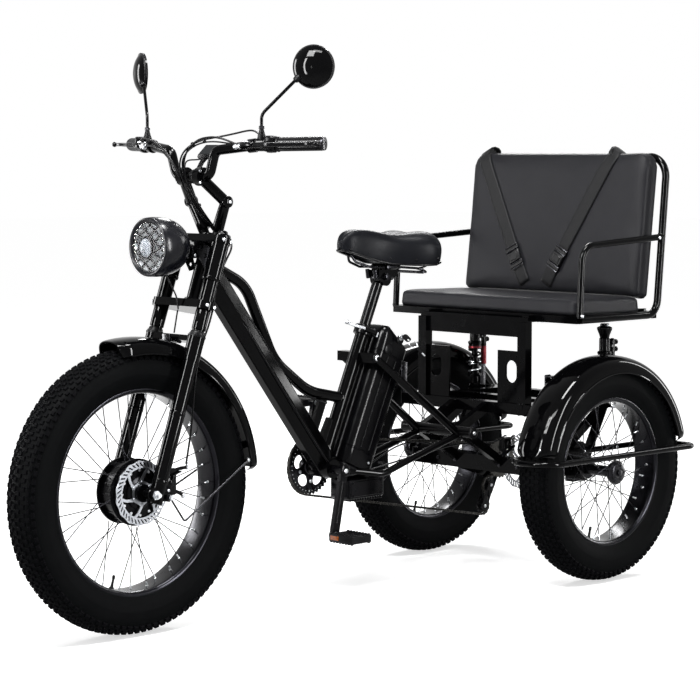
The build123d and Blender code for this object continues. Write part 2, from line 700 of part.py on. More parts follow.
def bench():
    """Tube loop of seat and back, its pan, the rails on the posts, and two armrests."""
    corners = [
        (BENCH_X, BENCH_FRONT, BENCH_HEIGHT),
        (BENCH_X, BENCH_BACK, BENCH_HEIGHT),
        (BENCH_X, *BACK_TOP),
    ]
    corners += [(-x, station, height) for x, station, height in reversed(corners)]
    frame = bent_tube(corners, BENCH_TUBE_R, [45, 60, 60, 45])
    for station, deep in ((BENCH_FRONT, 22), (SHOCK_STATION, 20), (BENCH_BACK - 10, 20)):
        ends = [(x, station, BENCH_HEIGHT) for x in (-BENCH_X, BENCH_X)]
        frame += bar(*ends, deep, 20, (0, 1, 0))
    frame += block((-328, 328), (1278, 1578), (BENCH_HEIGHT + 10, BENCH_HEIGHT + 17))
    for x in (-POST_X, POST_X):
        ends = [(x, station, BENCH_HEIGHT - 2) for station in (DECK_STATION + 3, BENCH_BACK - 10)]
        frame += bar(*ends, 24, 18)
    keep("bench_frame", frame)
    arm = bent_tube(
        [
            (BENCH_X, BENCH_FRONT, BENCH_HEIGHT + 5),
            (BENCH_X, BENCH_FRONT + 10, 920),
            (BENCH_X, 1612, 937),
        ],
        ARM_TUBE_R,
        48,
    )
    keep("armrests", *both(largest(arm - frame)))


def cushions():
    base = block((-338, 338), (1264, 1552), (738.3, 782))
    base = fillet(base.edges().filter_by(Axis.Z), 22)
    keep("bench_cushion", fillet(base.faces().sort_by(Axis.Z)[-1].edges(), 14))
    pad = Pos(0, 0, 1.5) * Box(672, BACK_THICK, 397)
    corners = pad.edges().filter_by(Axis.Y).sort_by(Axis.Z)
    pad = fillet(corners[2:], 44)
    corners = pad.edges().filter_by(Axis.Y).sort_by(Axis.Z)
    pad = fillet(corners[:2], 16)
    pad = fillet(pad.faces().sort_by(Axis.Y)[0].edges(), 14)
    keep("backrest", BACK * pad)


def harness():
    """Two flat belts down the front of the backrest, each with a buckle."""
    wide, thick, low_z, high_z = 40.0, 2.4, -183.0, 196.0
    buckle_thick, pad_face = 7.4, -BACK_THICK / 2 - 0.3
    front = pad_face - thick / 2
    belts = []
    for high_x, low_x in ((206, -4), (-284, -84)):
        square = (high_z - low_z, 0, low_x - high_x)
        start, end = (high_x, front, high_z), (low_x, front, low_z)
        belt = bar(start, end, wide, thick, side=square)
        line = Line(start, end)
        buckle = bar(line @ 0.77, line @ 0.91, wide + 8, buckle_thick, side=square)
        belt += Pos(0, (thick - buckle_thick) / 2, 0) * buckle
        belts.append(BACK * belt)
    keep("harness", *belts)


def saddle():
    """Wide padded saddle, its clamp and the seat post."""
    nose, tail_x = Pos(0, 737) * Circle(30), 58
    circles = [nose, Pos(tail_x, 948) * Circle(53), Pos(-tail_x, 948) * Circle(53)]
    plan = make_hull([edge for circle in circles for edge in circle.edges()])
    side = Polyline(
        (700, 912), (770, 893), (845, 872), (1010, 868), (1010, 969), (700, 969), close=True
    )
    profile = Plane(origin=(0, 0, 0), x_dir=(0, 1, 0), z_dir=(1, 0, 0)) * make_face(side)
    body = extrude(plan, 1000) & extrude(profile, 200, both=True)
    keep("saddle", fillet(body.faces().sort_by(Axis.Z)[-1].edges(), 26))
    post = rod(seat_point(SEAT_TUBE_LENGTH, 0), seat_point(510, 0), 15)
    post += disc(17, -23, 23, 858, 834) + block((-23, 23), (830, 900), (842, 860))
    post += block((-22, 22), (846, 900), (860, 867))
    keep("seat_post", post)


# ------------------------------------------------------------------ drive train
RING_R, CHAIN_THICK, CHAIN_WIDTH, CHAIN_GAP = 72.5, 7.0, 8.0, 1.0
RING_X, PEDAL_PIN_R = COG_X, 6.0
PULLEY_LOW, PULLEY_HIGH, PULLEY_R = (1326.0, 168.0), (1352.0, 226.0), 20.0


def crank_point(sign, x):
    """Pedal end of a crank; the right one is half a turn round."""
    turn = math.radians(CRANK_LEAN)
    station = CRANK_STATION - sign * CRANK_LENGTH * math.sin(turn)
    return (x, station, CRANK_HEIGHT - sign * CRANK_LENGTH * math.cos(turn))


def cranks():
    axle = disc(CRANK_AXLE_R, -78, 78, CRANK_STATION, CRANK_HEIGHT)
    for sign in (1, -1):
        start = (sign * 72, CRANK_STATION, CRANK_HEIGHT)
        end = crank_point(sign, sign * 97)
        axle += bar(start, end, 12, 24)
        axle += disc(17, *sorted((sign * 66, sign * 80)), CRANK_STATION, CRANK_HEIGHT)
        axle += disc(13, *sorted((sign * 91, sign * 105)), *end[1:])
        axle += disc(PEDAL_PIN_R, *sorted((sign * 100, sign * 196)), *end[1:])
    keep("cranks", axle)
    centre = (CRANK_STATION, CRANK_HEIGHT)
    chainring = ring(RING_R, CRANK_AXLE_R, RING_X - 2, RING_X + 2, *centre)
    for i in range(5):
        slot = Rot(72 * i, 0, 0) * Pos(0, 0, 44) * Rot(0, 90, 0)
        slot *= extrude(SlotOverall(44, 30, rotation=90), 10, both=True)
        chainring -= Pos(RING_X, *centre) * slot
    keep("chainring", chainring)
    for side, sign in SIDES.items():
        _, station, height = crank_point(sign, 0)
        low, high = sorted((sign * 111, sign * 202))
        pedal = block((low, high), (station - 34, station + 34), (height - 13, height + 13))
        pedal = fillet(pedal.edges().filter_by(Axis.X), 6)
        pedal -= disc(PEDAL_PIN_R + RUNNING_GAP, *sorted((sign * 105, sign * 198)), station, height)
        keep(f"{side}_pedal", pedal)


def tangent_points(a, a_r, b, b_r):
    """Where a straight run touches two circles in (station, height), on the left of
    the way from a to b. A negative radius puts the run on the circle's other side."""
    reach = math.dist(a, b)
    heading = math.atan2(b[1] - a[1], b[0] - a[0])
    square = heading + math.acos((a_r - b_r) / reach)
    across = math.cos(square), math.sin(square)
    return [(c[0] + r * across[0], c[1] + r * across[1]) for c, r in ((a, a_r), (b, b_r))]


def chain_loop(out):
    """One edge of the chain, this far out of its inner edge: straight runs and arcs.
    It runs inside out round the upper jockey wheel, which has a negative radius."""
    wheels = [
        ((CRANK_STATION, CRANK_HEIGHT), RING_R + CHAIN_GAP + out),
        ((REAR_STATION, REAR_R), COG_R + CHAIN_GAP + out),
        (PULLEY_HIGH, out - (PULLEY_R + CHAIN_GAP + CHAIN_THICK)),
        (PULLEY_LOW, PULLEY_R + CHAIN_GAP + out),
    ]
    runs = [
        tangent_points(*wheels[i], *wheels[(i + 1) % len(wheels)]) for i in range(len(wheels))
    ]
    edges = []
    for i, (start, end) in enumerate(runs):
        centre, radius = wheels[(i + 1) % len(wheels)]
        leave = runs[(i + 1) % len(runs)][0]
        first = math.atan2(end[1] - centre[1], end[0] - centre[0])
        last = math.atan2(leave[1] - centre[1], leave[0] - centre[0])
        way = -1 if radius > 0 else 1
        turn = (way * (last - first)) % (2 * math.pi)
        middle = first + way * turn / 2
        over = (
            centre[0] + abs(radius) * math.cos(middle),
            centre[1] + abs(radius) * math.sin(middle),
        )
        edges += [Line(start, end), ThreePointArc(end, over, leave)]
    return make_face(edges)


def derailleur():
    """Hanger, body, two cage plates and two jockey wheels under the cogs."""
    hanger = bar((-84, BEAM_STATION, BEAM_HEIGHT - 8), (-84, 1388, 250), 6, 26) - cross_beam()
    hanger += disc(13, -87, -76, 1384, 250)
    arm = bar((-78, 1384, 250), (-71, PULLEY_HIGH[0] + 4, PULLEY_HIGH[1] + 4), 10, 26)
    cage = Part()
    for x in (-66.5, -47.5):
        cage += bar((x, *PULLEY_HIGH), (x, *PULLEY_LOW), 2, 24)
        cage += disc(13, x - 1, x + 1, *PULLEY_HIGH) + disc(15, x - 1, x + 1, *PULLEY_LOW)
    for place in (PULLEY_HIGH, PULLEY_LOW):
        cage += disc(PULLEY_R, COG_X - 1.5, COG_X + 1.5, *place)
        cage += disc(4, -67, -47, *place)
    keep("derailleur", largest(largest(hanger) + arm + cage))


def rear_caliper():
    """Brake caliper round the rear disc, on a plate from the cross beam."""
    body = block((33, 57), (1294, 1338), (334, 374)) - block((40.5, 50), (1302, 1400), (300, 380))
    body += bar((60, BEAM_STATION, BEAM_HEIGHT + 14), (60, 1322, 352), 6, 30)
    keep("rear_caliper", largest(body - cross_beam()))


def chain():
    """A plain band round the chainring, the rear cog and the two jockey wheels."""
    flat = chain_loop(CHAIN_THICK) - chain_loop(0)
    band = extrude(flat, CHAIN_WIDTH / 2, both=True)
    keep("chain", Plane(origin=(COG_X, 0, 0), x_dir=(0, 1, 0), z_dir=(1, 0, 0)) * band)


main_frame()
rear_stays()
battery()
deck()
axle_carriage()
wheel_guards()
rear_mudguards()
dampers()
bench()
cushions()
harness()
saddle()
cranks()
derailleur()
rear_caliper()
chain()

for name, shape in pieces.items():
    export_step(shape.moved(Location((0, -MID_STATION, 0))), f"parts/{name}.step")
    print(name, round(shape.volume / 1000), "cm3")
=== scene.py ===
# %% [markdown]
# # An electric tricycle for two
# It has one steered fat front wheel, a saddle, a battery behind the seat tube and a padded
# bench between two rear wheels. Almost all of it is black, so gloss alone tells one piece from
# the next: soft rubber, satin vinyl, shiny enamel and bright steel.
# Plain tubes and brackets of the CAD model are shown with a finish, welds and bolts added.
# The pieces that need more shape are built again in their places.

# %% Load the frame
from math import acos, asin, atan2, copysign, cos, degrees, dist, pi, radians, sin, sqrt, tan

import bmesh
import bpy
import numpy as np
from mathutils import Matrix, Vector
from mathutils.bvhtree import BVHTree


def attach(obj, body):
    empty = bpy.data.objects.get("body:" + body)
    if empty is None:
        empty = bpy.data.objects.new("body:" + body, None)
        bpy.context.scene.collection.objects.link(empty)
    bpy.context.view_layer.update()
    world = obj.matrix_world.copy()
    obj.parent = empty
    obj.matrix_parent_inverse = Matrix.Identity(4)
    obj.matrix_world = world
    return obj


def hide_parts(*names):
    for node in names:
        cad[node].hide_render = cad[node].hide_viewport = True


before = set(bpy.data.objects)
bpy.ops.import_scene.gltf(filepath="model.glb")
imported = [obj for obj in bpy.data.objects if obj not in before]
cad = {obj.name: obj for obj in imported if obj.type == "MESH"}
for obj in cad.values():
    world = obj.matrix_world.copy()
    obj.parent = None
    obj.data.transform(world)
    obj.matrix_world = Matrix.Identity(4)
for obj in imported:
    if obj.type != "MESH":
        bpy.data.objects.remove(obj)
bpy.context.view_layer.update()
scene = bpy.context.scene

# %% [markdown]
# Sizes are in millimetres, as a mechanic would read them: x to the rider's left, the station
# behind the front axle, and the height above the ground. One function turns such a place into
# the frame's metres.

# %% Places and directions
MM = 0.001
MID_STATION = 678.5
X, Y, Z = Vector((1, 0, 0)), Vector((0, 1, 0)), Vector((0, 0, 1))
SIDES = {"left": 1, "right": -1}


def at(x, station, height):
    """A place on the machine, in metres."""
    return Vector((x, station - MID_STATION, height)) * MM


def leaning(lean):
    """The directions up along a tube that leans back by an angle, and square to it."""
    return Vector((0, sin(lean), cos(lean))), Vector((0, cos(lean), -sin(lean)))


def round_x(t):
    """The direction square to X at an angle that starts at the rear and goes over the top."""
    return Y * cos(t) + Z * sin(t)


def around(count, ahead=0.0):
    """Equal angles round a full turn, the first moved ahead by a share of a step."""
    return [2 * pi * (i + ahead) / count for i in range(count)]


HEAD_LEAN, SEAT_LEAN = radians(19), radians(23.8)
STEER_FOOT, SEAT_FOOT = at(0, 47, 335), at(0, 640, 356)
STEER_UP, STEER_BACK = leaning(HEAD_LEAN)
SEAT_UP, SEAT_BACK = leaning(SEAT_LEAN)
SEAT_AXES = (X, SEAT_BACK, SEAT_UP)


def on_fork(x, behind, up):
    """A place measured square to the steering axis and along it."""
    return STEER_FOOT + (X * x + STEER_BACK * behind + STEER_UP * up) * MM


def on_seat(x, behind, up):
    """A place measured square to the seat tube and along it."""
    return SEAT_FOOT + (X * x + SEAT_BACK * behind + SEAT_UP * up) * MM


print("steering axis leans", round(degrees(HEAD_LEAN)), "degrees")

# %% [markdown]
# The camera stands to the front left, a little above the lamp, far off with a long lens.

# %% Camera
def placed(name, data, place=(0, 0, 0), look=None):
    """Puts an object in the scene, turned so that its own -Z looks along a direction."""
    made = bpy.data.objects.new(name, data)
    scene.collection.objects.link(made)
    made.location = place
    if look:
        made.rotation_mode = "QUATERNION"
        made.rotation_quaternion = look.to_track_quat("-Z", "Y")
    return made


CAMERA_TURN, CAMERA_DOWN = radians(45.76), radians(4.85)
camera = placed("camera", bpy.data.cameras.new("camera"), (4.355, -4.1755, 1.167), Vector((
    -sin(CAMERA_TURN) * cos(CAMERA_DOWN), cos(CAMERA_TURN) * cos(CAMERA_DOWN), -sin(CAMERA_DOWN),
)))
camera.data.lens = 118.7
camera.data.sensor_width = 36
scene.camera = camera
scene.view_settings.view_transform = "Standard"
print("camera", round(camera.location.length, 2), "m from the origin")

# %% [markdown]
# A black machine shows its shape by what it reflects. Two soft boxes light it, one high in
# front and one behind. Four tall strips and two boxes overhead are seen by shiny surfaces
# alone: a strip draws a thin pale line along a tube, a box a white patch on a mudguard.

# %% Lights
for name, place, aim, wide, tall, watts, lights_paint in (
    ("key_light", (0.9, -1.7, 3.5), (0, 0, 0.6), 1.3, 0.4, 120, True),
    ("left_strip", (-0.3, -3.7, 1.5), (0, 0, 0.8), 0.42, 2.4, 440, False),
    ("right_strip", (3.6, 0.9, 1.5), (0, 0, 0.8), 0.42, 2.4, 440, False),
    ("far_left_strip", (-3.3, -1.9, 1.3), (0, 0, 0.8), 0.6, 2.4, 190, False),
    ("far_right_strip", (1.2, 3.4, 1.3), (0, 0, 0.8), 0.25, 2.4, 80, False),
    ("overhead_box", (0.5, 0.1, 3.3), (0, 0, 0.6), 1.1, 0.45, 260, False),
    ("front_box", (0.2, -2.1, 2.9), (0, 0.3, 0.6), 0.9, 1.0, 330, False),
    ("back_light", (-2.2, 2.6, 2.9), (0, 0, 0.6), 1.4, 0.4, 80, True),
):
    look = Vector(aim) - Vector(place)
    lamp = placed(name, bpy.data.lights.new(name, "AREA"), place, look)
    lamp.data.shape, lamp.data.energy = "RECTANGLE", watts
    lamp.data.size, lamp.data.size_y = wide, tall
    lamp.visible_diffuse = lights_paint
print("lamps", [light.name for light in bpy.data.lights])

# %% [markdown]
# One small function adds a node: a number or colour fills a socket and another node's output
# is linked to it. Colours are sRGB hex, as on a paint chart, and are turned to linear light.

# %% Node helper
def linear(hex_colour):
    """sRGB hex to the linear colour that the shaders use."""
    channels = [int(hex_colour[i:i + 2], 16) / 255 for i in (1, 3, 5)]
    return tuple(
        c / 12.92 if c <= 0.04045 else ((c + 0.055) / 1.055) ** 2.4 for c in channels
    ) + (1.0,)


def add_node(tree, kind, sockets=None, **settings):
    """Adds a shader node; a socket takes a value, a hex colour or another node's output."""
    made = tree.nodes.new("ShaderNode" + kind)
    for name, value in settings.items():
        setattr(made, name, value)
    for name, value in (sockets or {}).items():
        if isinstance(value, bpy.types.NodeSocket):
            tree.links.new(value, made.inputs[name])
        else:
            made.inputs[name].default_value = linear(value) if isinstance(value, str) else value
    return made


def empty_tree(owner):
    """The node tree of a new material or world, with nothing in it."""
    owner.use_nodes = True
    owner.node_tree.nodes.clear()
    return owner.node_tree


def per(millimetres):
    """The texture scale at which one grain has this real size."""
    return 1000 / millimetres


print("mid grey is", [round(c, 3) for c in linear("#808080")])

# %% [markdown]
# The floor and the world are plain white to the eye and to every shiny surface. The floor has
# a little light of its own, enough to bring it to white where lamps reach it, so that only
# the soft shadow under the wheels is left darker.

# %% Floor and world
def white_ray(tree):
    """1 for rays that see the background: from the camera, off gloss or through glass."""
    path = add_node(tree, "LightPath")
    seen = add_node(tree, "Math", {
        0: path.outputs["Is Camera Ray"], 1: path.outputs["Is Glossy Ray"],
    }, operation="MAXIMUM")
    return add_node(tree, "Math", {
        0: seen.outputs[0], 1: path.outputs["Is Transmission Ray"],
    }, operation="MAXIMUM").outputs[0]


AMBIENT, FLOOR_GLOW, FLOOR_HALF = 0.42, 0.62, 30.0
scene.world = bpy.data.worlds.new("studio")
tree = empty_tree(scene.world)
level = add_node(tree, "MapRange", {"Value": white_ray(tree), "To Min": AMBIENT, "To Max": 1.0})
sky = add_node(tree, "Background", {"Color": "#ffffff", "Strength": level.outputs["Result"]})
add_node(tree, "OutputWorld", {"Surface": sky.outputs[0]})

floor_finish = bpy.data.materials.new("studio_floor")
tree = empty_tree(floor_finish)
matt = add_node(tree, "BsdfDiffuse", {"Color": "#f2f2f2"})
own_light = add_node(tree, "MapRange",
                     {"Value": white_ray(tree), "To Min": 0.0, "To Max": FLOOR_GLOW})
glow = add_node(tree, "Emission", {"Color": "#ffffff", "Strength": own_light.outputs["Result"]})
both = add_node(tree, "AddShader", {0: matt.outputs[0], 1: glow.outputs[0]})
add_node(tree, "OutputMaterial", {"Surface": both.outputs[0]})
floor_mesh = bpy.data.meshes.new("floor")
half = FLOOR_HALF
corners = [(-half, -half, 0), (half, -half, 0), (half, half, 0), (-half, half, 0)]
floor_mesh.from_pydata(corners, [], [range(4)])
floor_mesh.materials.append(floor_finish)
placed("floor", floor_mesh)
print("floor", 2 * FLOOR_HALF, "m square")

# %% [markdown]
# A finish has a base colour with slight patches of wear or dust, a roughness that varies with
# them, and a fine bump for its grain. On the lamp's bowl and projector the patches are painted
# reflections instead. One function lays out those nodes, and each material says its own
# numbers and sizes.

# %% The common layout of a finish
def finish(name, colour, patch_colour, roughness, grain_mm, bump_mm, patch_mm=60, metallic=0.0,
           spread=0.08, index=1.5, gloss=0.5, **shader):
    """Two mottled colours, varied roughness, a fine grain and the film's index and gloss."""
    made = bpy.data.materials.new(name)
    tree = empty_tree(made)
    place = add_node(tree, "TexCoord").outputs["Object"]
    patches = add_node(tree, "TexNoise", {
        "Vector": place, "Scale": per(patch_mm), "Detail": 4.0, "Roughness": 0.6,
    })
    tint = add_node(tree, "ValToRGB", {"Fac": patches.outputs["Fac"]})
    for stop, where, hue in zip(tint.color_ramp.elements, (0.35, 0.75), (colour, patch_colour)):
        stop.position, stop.color = where, linear(hue)
    sheen_patches = add_node(tree, "MapRange", {
        "Value": patches.outputs["Fac"], "From Min": 0.3, "From Max": 0.7,
        "To Min": roughness - spread / 2, "To Max": roughness + spread / 2,
    })
    grain = add_node(tree, "TexNoise", {"Vector": place, "Scale": per(grain_mm), "Detail": 3.0})
    relief = add_node(tree, "Bump", {
        "Height": grain.outputs["Fac"], "Strength": 1.0, "Distance": bump_mm * MM,
    })
    surface = add_node(tree, "BsdfPrincipled", {
        "Base Color": tint.outputs["Color"], "Metallic": metallic,
        "Roughness": sheen_patches.outputs["Result"], "Normal": relief.outputs["Normal"],
        "IOR": index, "Specular IOR Level": gloss,
    })
    for socket, value in shader.items():
        surface.inputs[socket.replace("_", " ")].default_value = value
    add_node(tree, "OutputMaterial", {"Surface": surface.outputs[0]})
    return made


def part_of(material, kind):
    """The material's node of this kind, to link a pattern of its own to."""
    return next(n for n in material.node_tree.nodes if n.bl_idname == "ShaderNode" + kind)


print("a 2 mm grain has scale", per(2))

# %% [markdown]
# **Painted metal.** The frame is mild steel tube with a black powder coat: powder melts into
# an even skin with a faint orange peel about 2 mm across. The fork and handlebar are sprayed
# enamel, smoother and glossier. Both are films of resin, so they are not metallic.

# %% Paints
powder_coat = finish(
    "black_powder_coat", "#040405", "#070708", 0.11, 2.2, 0.005, spread=0.04, gloss=0.045)
fork_enamel = finish(
    "gloss_black_enamel", "#040405", "#070708", 0.06, 5.0, 0.004, spread=0.03, gloss=0.05)
damper_coat = finish(
    "black_stove_enamel", "#060608", "#0b0b0d", 0.18, 1.6, 0.008, spread=0.05, gloss=0.06)
red_paint = finish("red_anodised_aluminium", "#4a0811", "#610c17", 0.36, 1.2, 0.006, metallic=0.75)
print("paints ready")

# %% [markdown]
# **Rubber and plastics.** A tyre is carbon black rubber, dull with a grey bloom of dust.
# The mudguards and the lamp shell are glossy mouldings, the battery case is a satin one with
# a spark-eroded grain under half a millimetre, drawn here at 0.8 mm so that it shows.

# %% Rubber and plastics
tyre_rubber = finish(
    "vulcanised_tyre_rubber", "#060708", "#0a0b0c", 0.6, 1.5, 0.05, patch_mm=45, index=1.52,
    gloss=0.01)
knob_rubber = finish(
    "scuffed_tread_rubber", "#070709", "#0c0c0e", 0.7, 1.5, 0.08, patch_mm=25, index=1.52,
    gloss=0.01)
grip_rubber = finish(
    "moulded_grip_rubber", "#0b0b0d", "#121214", 0.4, 0.9, 0.03, index=1.52, gloss=0.05)
guard_plastic = finish(
    "gloss_moulded_polypropylene", "#040405", "#070708", 0.06, 6.0, 0.005, spread=0.03, index=1.49,
    gloss=0.05)
lamp_abs = finish(
    "gloss_moulded_ABS", "#0e0f14", "#13141a", 0.24, 4.0, 0.006, index=1.53, gloss=0.09)
nylon = finish("moulded_black_nylon", "#08080a", "#0d0d0f", 0.33, 0.8, 0.02, index=1.53, gloss=0.05)
battery_abs = finish(
    "spark_eroded_ABS", "#050507", "#09090b", 0.2, 0.8, 0.012, index=1.53, gloss=0.05)
cable_pvc = finish(
    "extruded_PVC_jacket", "#070709", "#0c0c0e", 0.34, 3.0, 0.01, index=1.54, gloss=0.05)
print("plastics ready")

# %% [markdown]
# **Bare and plated metal.** Brake rotors are ground stainless steel, spokes and nuts are
# drawn or zinc plated steel, the rims are black anodised aluminium, which stays metallic under
# its dye, and the chain is oiled steel. Metals keep the usual index.

# %% Metals
rim_anodised = finish(
    "black_anodised_aluminium", "#0e0e11", "#141418", 0.24, 1.5, 0.006, metallic=0.75, gloss=0.15)
hub_cast = finish(
    "black_die_cast_aluminium", "#060608", "#0b0b0d", 0.24, 1.0, 0.012, metallic=0.4, gloss=0.06)
bright_steel = finish(
    "zinc_plated_steel", "#b4b6b9", "#8f9194", 0.3, 0.8, 0.008, metallic=1.0, patch_mm=12)
black_steel = finish(
    "black_oxide_steel", "#101013", "#19191c", 0.28, 0.8, 0.01, metallic=0.85, patch_mm=14)
spoke_wire = finish(
    "drawn_black_spoke_wire", "#0c0c0f", "#18181c", 0.34, 0.8, 0.006, metallic=0.6, gloss=0.1)
chain_steel = finish(
    "oiled_chain_steel", "#33322f", "#1b1a18", 0.3, 0.9, 0.02, metallic=0.9, patch_mm=9)
rotor_steel = finish(
    "ground_stainless_steel", "#85878b", "#6f7175", 0.3, 0.9, 0.01, metallic=1.0, patch_mm=16)
print("metals ready")

# %% [markdown]
# Pieces are shaped in a few ways that a workshop has too: turning a profile on a lathe,
# drawing a section along a path, pressing a plate from an outline, and milling a block. Each
# way adds its faces to a bmesh, so a piece can hold several shapes.

# %% Turning, drawing and milling
def blanks(count):
    """Empty bmeshes to shape pieces in."""
    return [bmesh.new() for _ in range(count)]


def square_to(direction):
    """Any unit vector square to a direction."""
    return direction.cross(Z if abs(direction.z) < 0.9 else X).normalized()


def loft(bm, rings, loop=False, caps=True):
    """Joins rings of places with quads; loop joins the last to the first."""
    made = [[bm.verts.new(place) for place in ring] for ring in rings]
    for a, b in zip(made, made[1:] + made[:1] if loop else made[1:]):
        for i in range(len(a)):
            j = (i + 1) % len(a)
            bm.faces.new((a[i], a[j], b[j], b[i]))
    if caps and not loop:
        bm.faces.new(made[0][::-1])
        bm.faces.new(made[-1])


def turn(bm, centre, axis, profile, steps=48, loop=False):
    """Turns a profile of (along, radius) millimetres about an axis."""
    axis = Vector(axis).normalized()
    across = square_to(axis)
    third = axis.cross(across)
    loft(bm, [[
        centre + axis * (a * MM) + (across * cos(t) + third * sin(t)) * (max(r, 0.02) * MM)
        for t in around(steps)
    ] for a, r in profile], loop, not loop)


def draw(bm, path, section, side=None, loop=False, scale=None):
    """Draws a section of (u, v) millimetres along a path without twisting it."""
    count, rings, u = len(path), [], None
    for i, place in enumerate(path):
        before = path[i - 1] if i or loop else place
        after = path[(i + 1) % count] if i < count - 1 or loop else place
        heading = (after - before).normalized()
        guide = u if side is None else side
        if guide is None:
            guide = square_to(heading)
        u = (guide - heading * heading.dot(guide)).normalized()
        v = heading.cross(u)
        grow = scale[i] if scale else 1.0
        rings.append([place + (u * a + v * b) * (MM * grow) for a, b in section])
    loft(bm, rings, loop)


def circle(radius, steps=20, u=0.0, v=0.0):
    """A circle of (u, v) points about a centre."""
    return [(u + radius * cos(t), v + radius * sin(t)) for t in around(steps)]


def oblong(wide, deep, corner, steps=4):
    """A rectangle with rounded corners, as (u, v) points."""
    points = []
    for quarter, (su, sv) in enumerate(((1, 1), (-1, 1), (-1, -1), (1, -1))):
        for i in range(steps + 1):
            t = pi / 2 * (quarter + i / steps)
            points.append((
                su * (wide / 2 - corner) + corner * cos(t),
                sv * (deep / 2 - corner) + corner * sin(t),
            ))
    return points


def bend(points, radius, steps=6):
    """A path through corner places with each corner rounded, radius in millimetres."""
    path = [points[0]]
    for before, here, after in zip(points, points[1:], points[2:]):
        a, b = (before - here).normalized(), (after - here).normalized()
        reach = min(radius * MM / tan(a.angle(b) / 2), 0.48 * (before - here).length,
                    0.48 * (after - here).length)
        start, end = here + a * reach, here + b * reach
        for i in range(steps + 1):
            t = i / steps
            path.append(start * (1 - t) ** 2 + here * (2 * t * (1 - t)) + end * t ** 2)
    return path + [points[-1]]


def mill(bm, centre, size, edge=1.0, axes=(X, Y, Z)):
    """A block of (x, y, z) millimetres along three axes, with its edges broken."""
    u, v, w = axes
    wide, deep, high = size
    edge = min(edge, wide / 2.2, deep / 2.2, high / 2.2)
    rings = []
    for up, shrink in ((-1, edge), (-1, 0), (1, 0), (1, edge)):
        rise = up * (high / 2 - (0 if shrink else edge))
        outline = oblong(wide - 2 * shrink, deep - 2 * shrink, max(edge - shrink, 0.01), 2)
        rings.append([centre + (u * a + v * b + w * rise) * MM for a, b in outline])
    loft(bm, rings)


def rod(bm, start, end, radius, steps=16, edge=0.6):
    """A round bar between two places, with its ends chamfered."""
    length = (end - start).length / MM
    edge = min(edge, radius * 0.4, length * 0.3)
    profile = [(0, radius - edge), (edge, radius), (length - edge, radius), (length, radius - edge)]
    turn(bm, start, end - start, profile, steps)


def screw(bm, place, out, radius, head, kind="socket"):
    """A bolt head standing on a surface: a socket cap, a hexagon or a dome."""
    profile = {  # height, share of the radius
        "hex": [(0, 1.25), (0.6, 1.25), (0.6, 1), (head - 0.5, 1), (head, 0.88)],
        "dome": [(0, 1), (head * 0.35, 0.95), (head * 0.75, 0.7), (head, 0.34), (head * 0.7, 0.3)],
        "socket": [(0, 1), (head - 0.4, 1), (head, 0.86), (head, 0.5), (head * 0.45, 0.45)],
    }[kind]
    turn(bm, place, out, [(a, radius * share) for a, share in profile], 6 if kind == "hex" else 12)


print("a bend of three places has", len(bend([X, Y, Z], 20)), "points")

# %% [markdown]
# A finished piece gets its material, rides on the CAD body it belongs to, and may stand for
# plain CAD nodes. Faces that meet at less than 40 degrees are smooth, the rest stay crisp.

# %% Finishing a piece
CRISP = radians(40)


def smooth(mesh):
    """Smooth shading with crisp edges, from the angle between faces."""
    mesh.shade_smooth()
    bm = bmesh.new()
    bm.from_mesh(mesh)
    for edge in bm.edges:
        if len(edge.link_faces) == 2:
            edge.smooth = edge.calc_face_angle(0) < CRISP
    bm.to_mesh(mesh)
    bm.free()


def piece(name, bm, material, body, replaces=(), whole=True):
    """Turns a bmesh into a named piece on a body."""
    if whole:
        bmesh.ops.recalc_face_normals(bm, faces=bm.faces)
    mesh = bpy.data.meshes.new(name)
    bm.to_mesh(mesh)
    bm.free()
    smooth(mesh)
    mesh.materials.append(material)
    made = placed(name, mesh)
    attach(made, body)
    if replaces:
        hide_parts(*replaces)
    return made


def mirrored(bm):
    """Adds the twin of everything in a bmesh on the machine's other side."""
    twin = bmesh.ops.duplicate(bm, geom=bm.verts[:] + bm.edges[:] + bm.faces[:])["geom"]
    for vert in (v for v in twin if isinstance(v, bmesh.types.BMVert)):
        vert.co.x = -vert.co.x
    bmesh.ops.reverse_faces(bm, faces=[f for f in twin if isinstance(f, bmesh.types.BMFace)])
    return bm


def frame_at(place, *axes):
    """The matrix that takes x, y and z to three directions at a place."""
    return Matrix.Translation(place) @ Matrix(axes).transposed().to_4x4()


def press(bm, outlines, thick, centre, axes=(Y, Z, X)):
    """A flat plate cut from a sheet: the first outline is its edge, the others are holes."""
    curve = bpy.data.curves.new("outline", "CURVE")
    curve.dimensions, curve.fill_mode, curve.extrude = "2D", "BOTH", thick / 2
    for outline in outlines:
        spline = curve.splines.new("POLY")
        spline.points.add(len(outline) - 1)
        spline.use_cyclic_u = True
        for point, (u, v) in zip(spline.points, outline):
            point.co = (u, v, 0, 1)
    holder = bpy.data.objects.new("outline", curve)
    mesh = bpy.data.meshes.new_from_object(holder)
    bpy.data.objects.remove(holder)
    bpy.data.curves.remove(curve)
    mesh.transform(frame_at(centre, *(axis * MM for axis in axes)))
    before = len(bm.verts)
    bm.from_mesh(mesh)
    bpy.data.meshes.remove(mesh)
    bm.verts.ensure_lookup_table()
    bmesh.ops.remove_doubles(bm, verts=bm.verts[before:], dist=0.01 * MM)


print("faces smooth under", round(degrees(CRISP)), "degrees")

# %% [markdown]
# Tubes and brackets keep their CAD shape, and each takes the finish of the real piece.

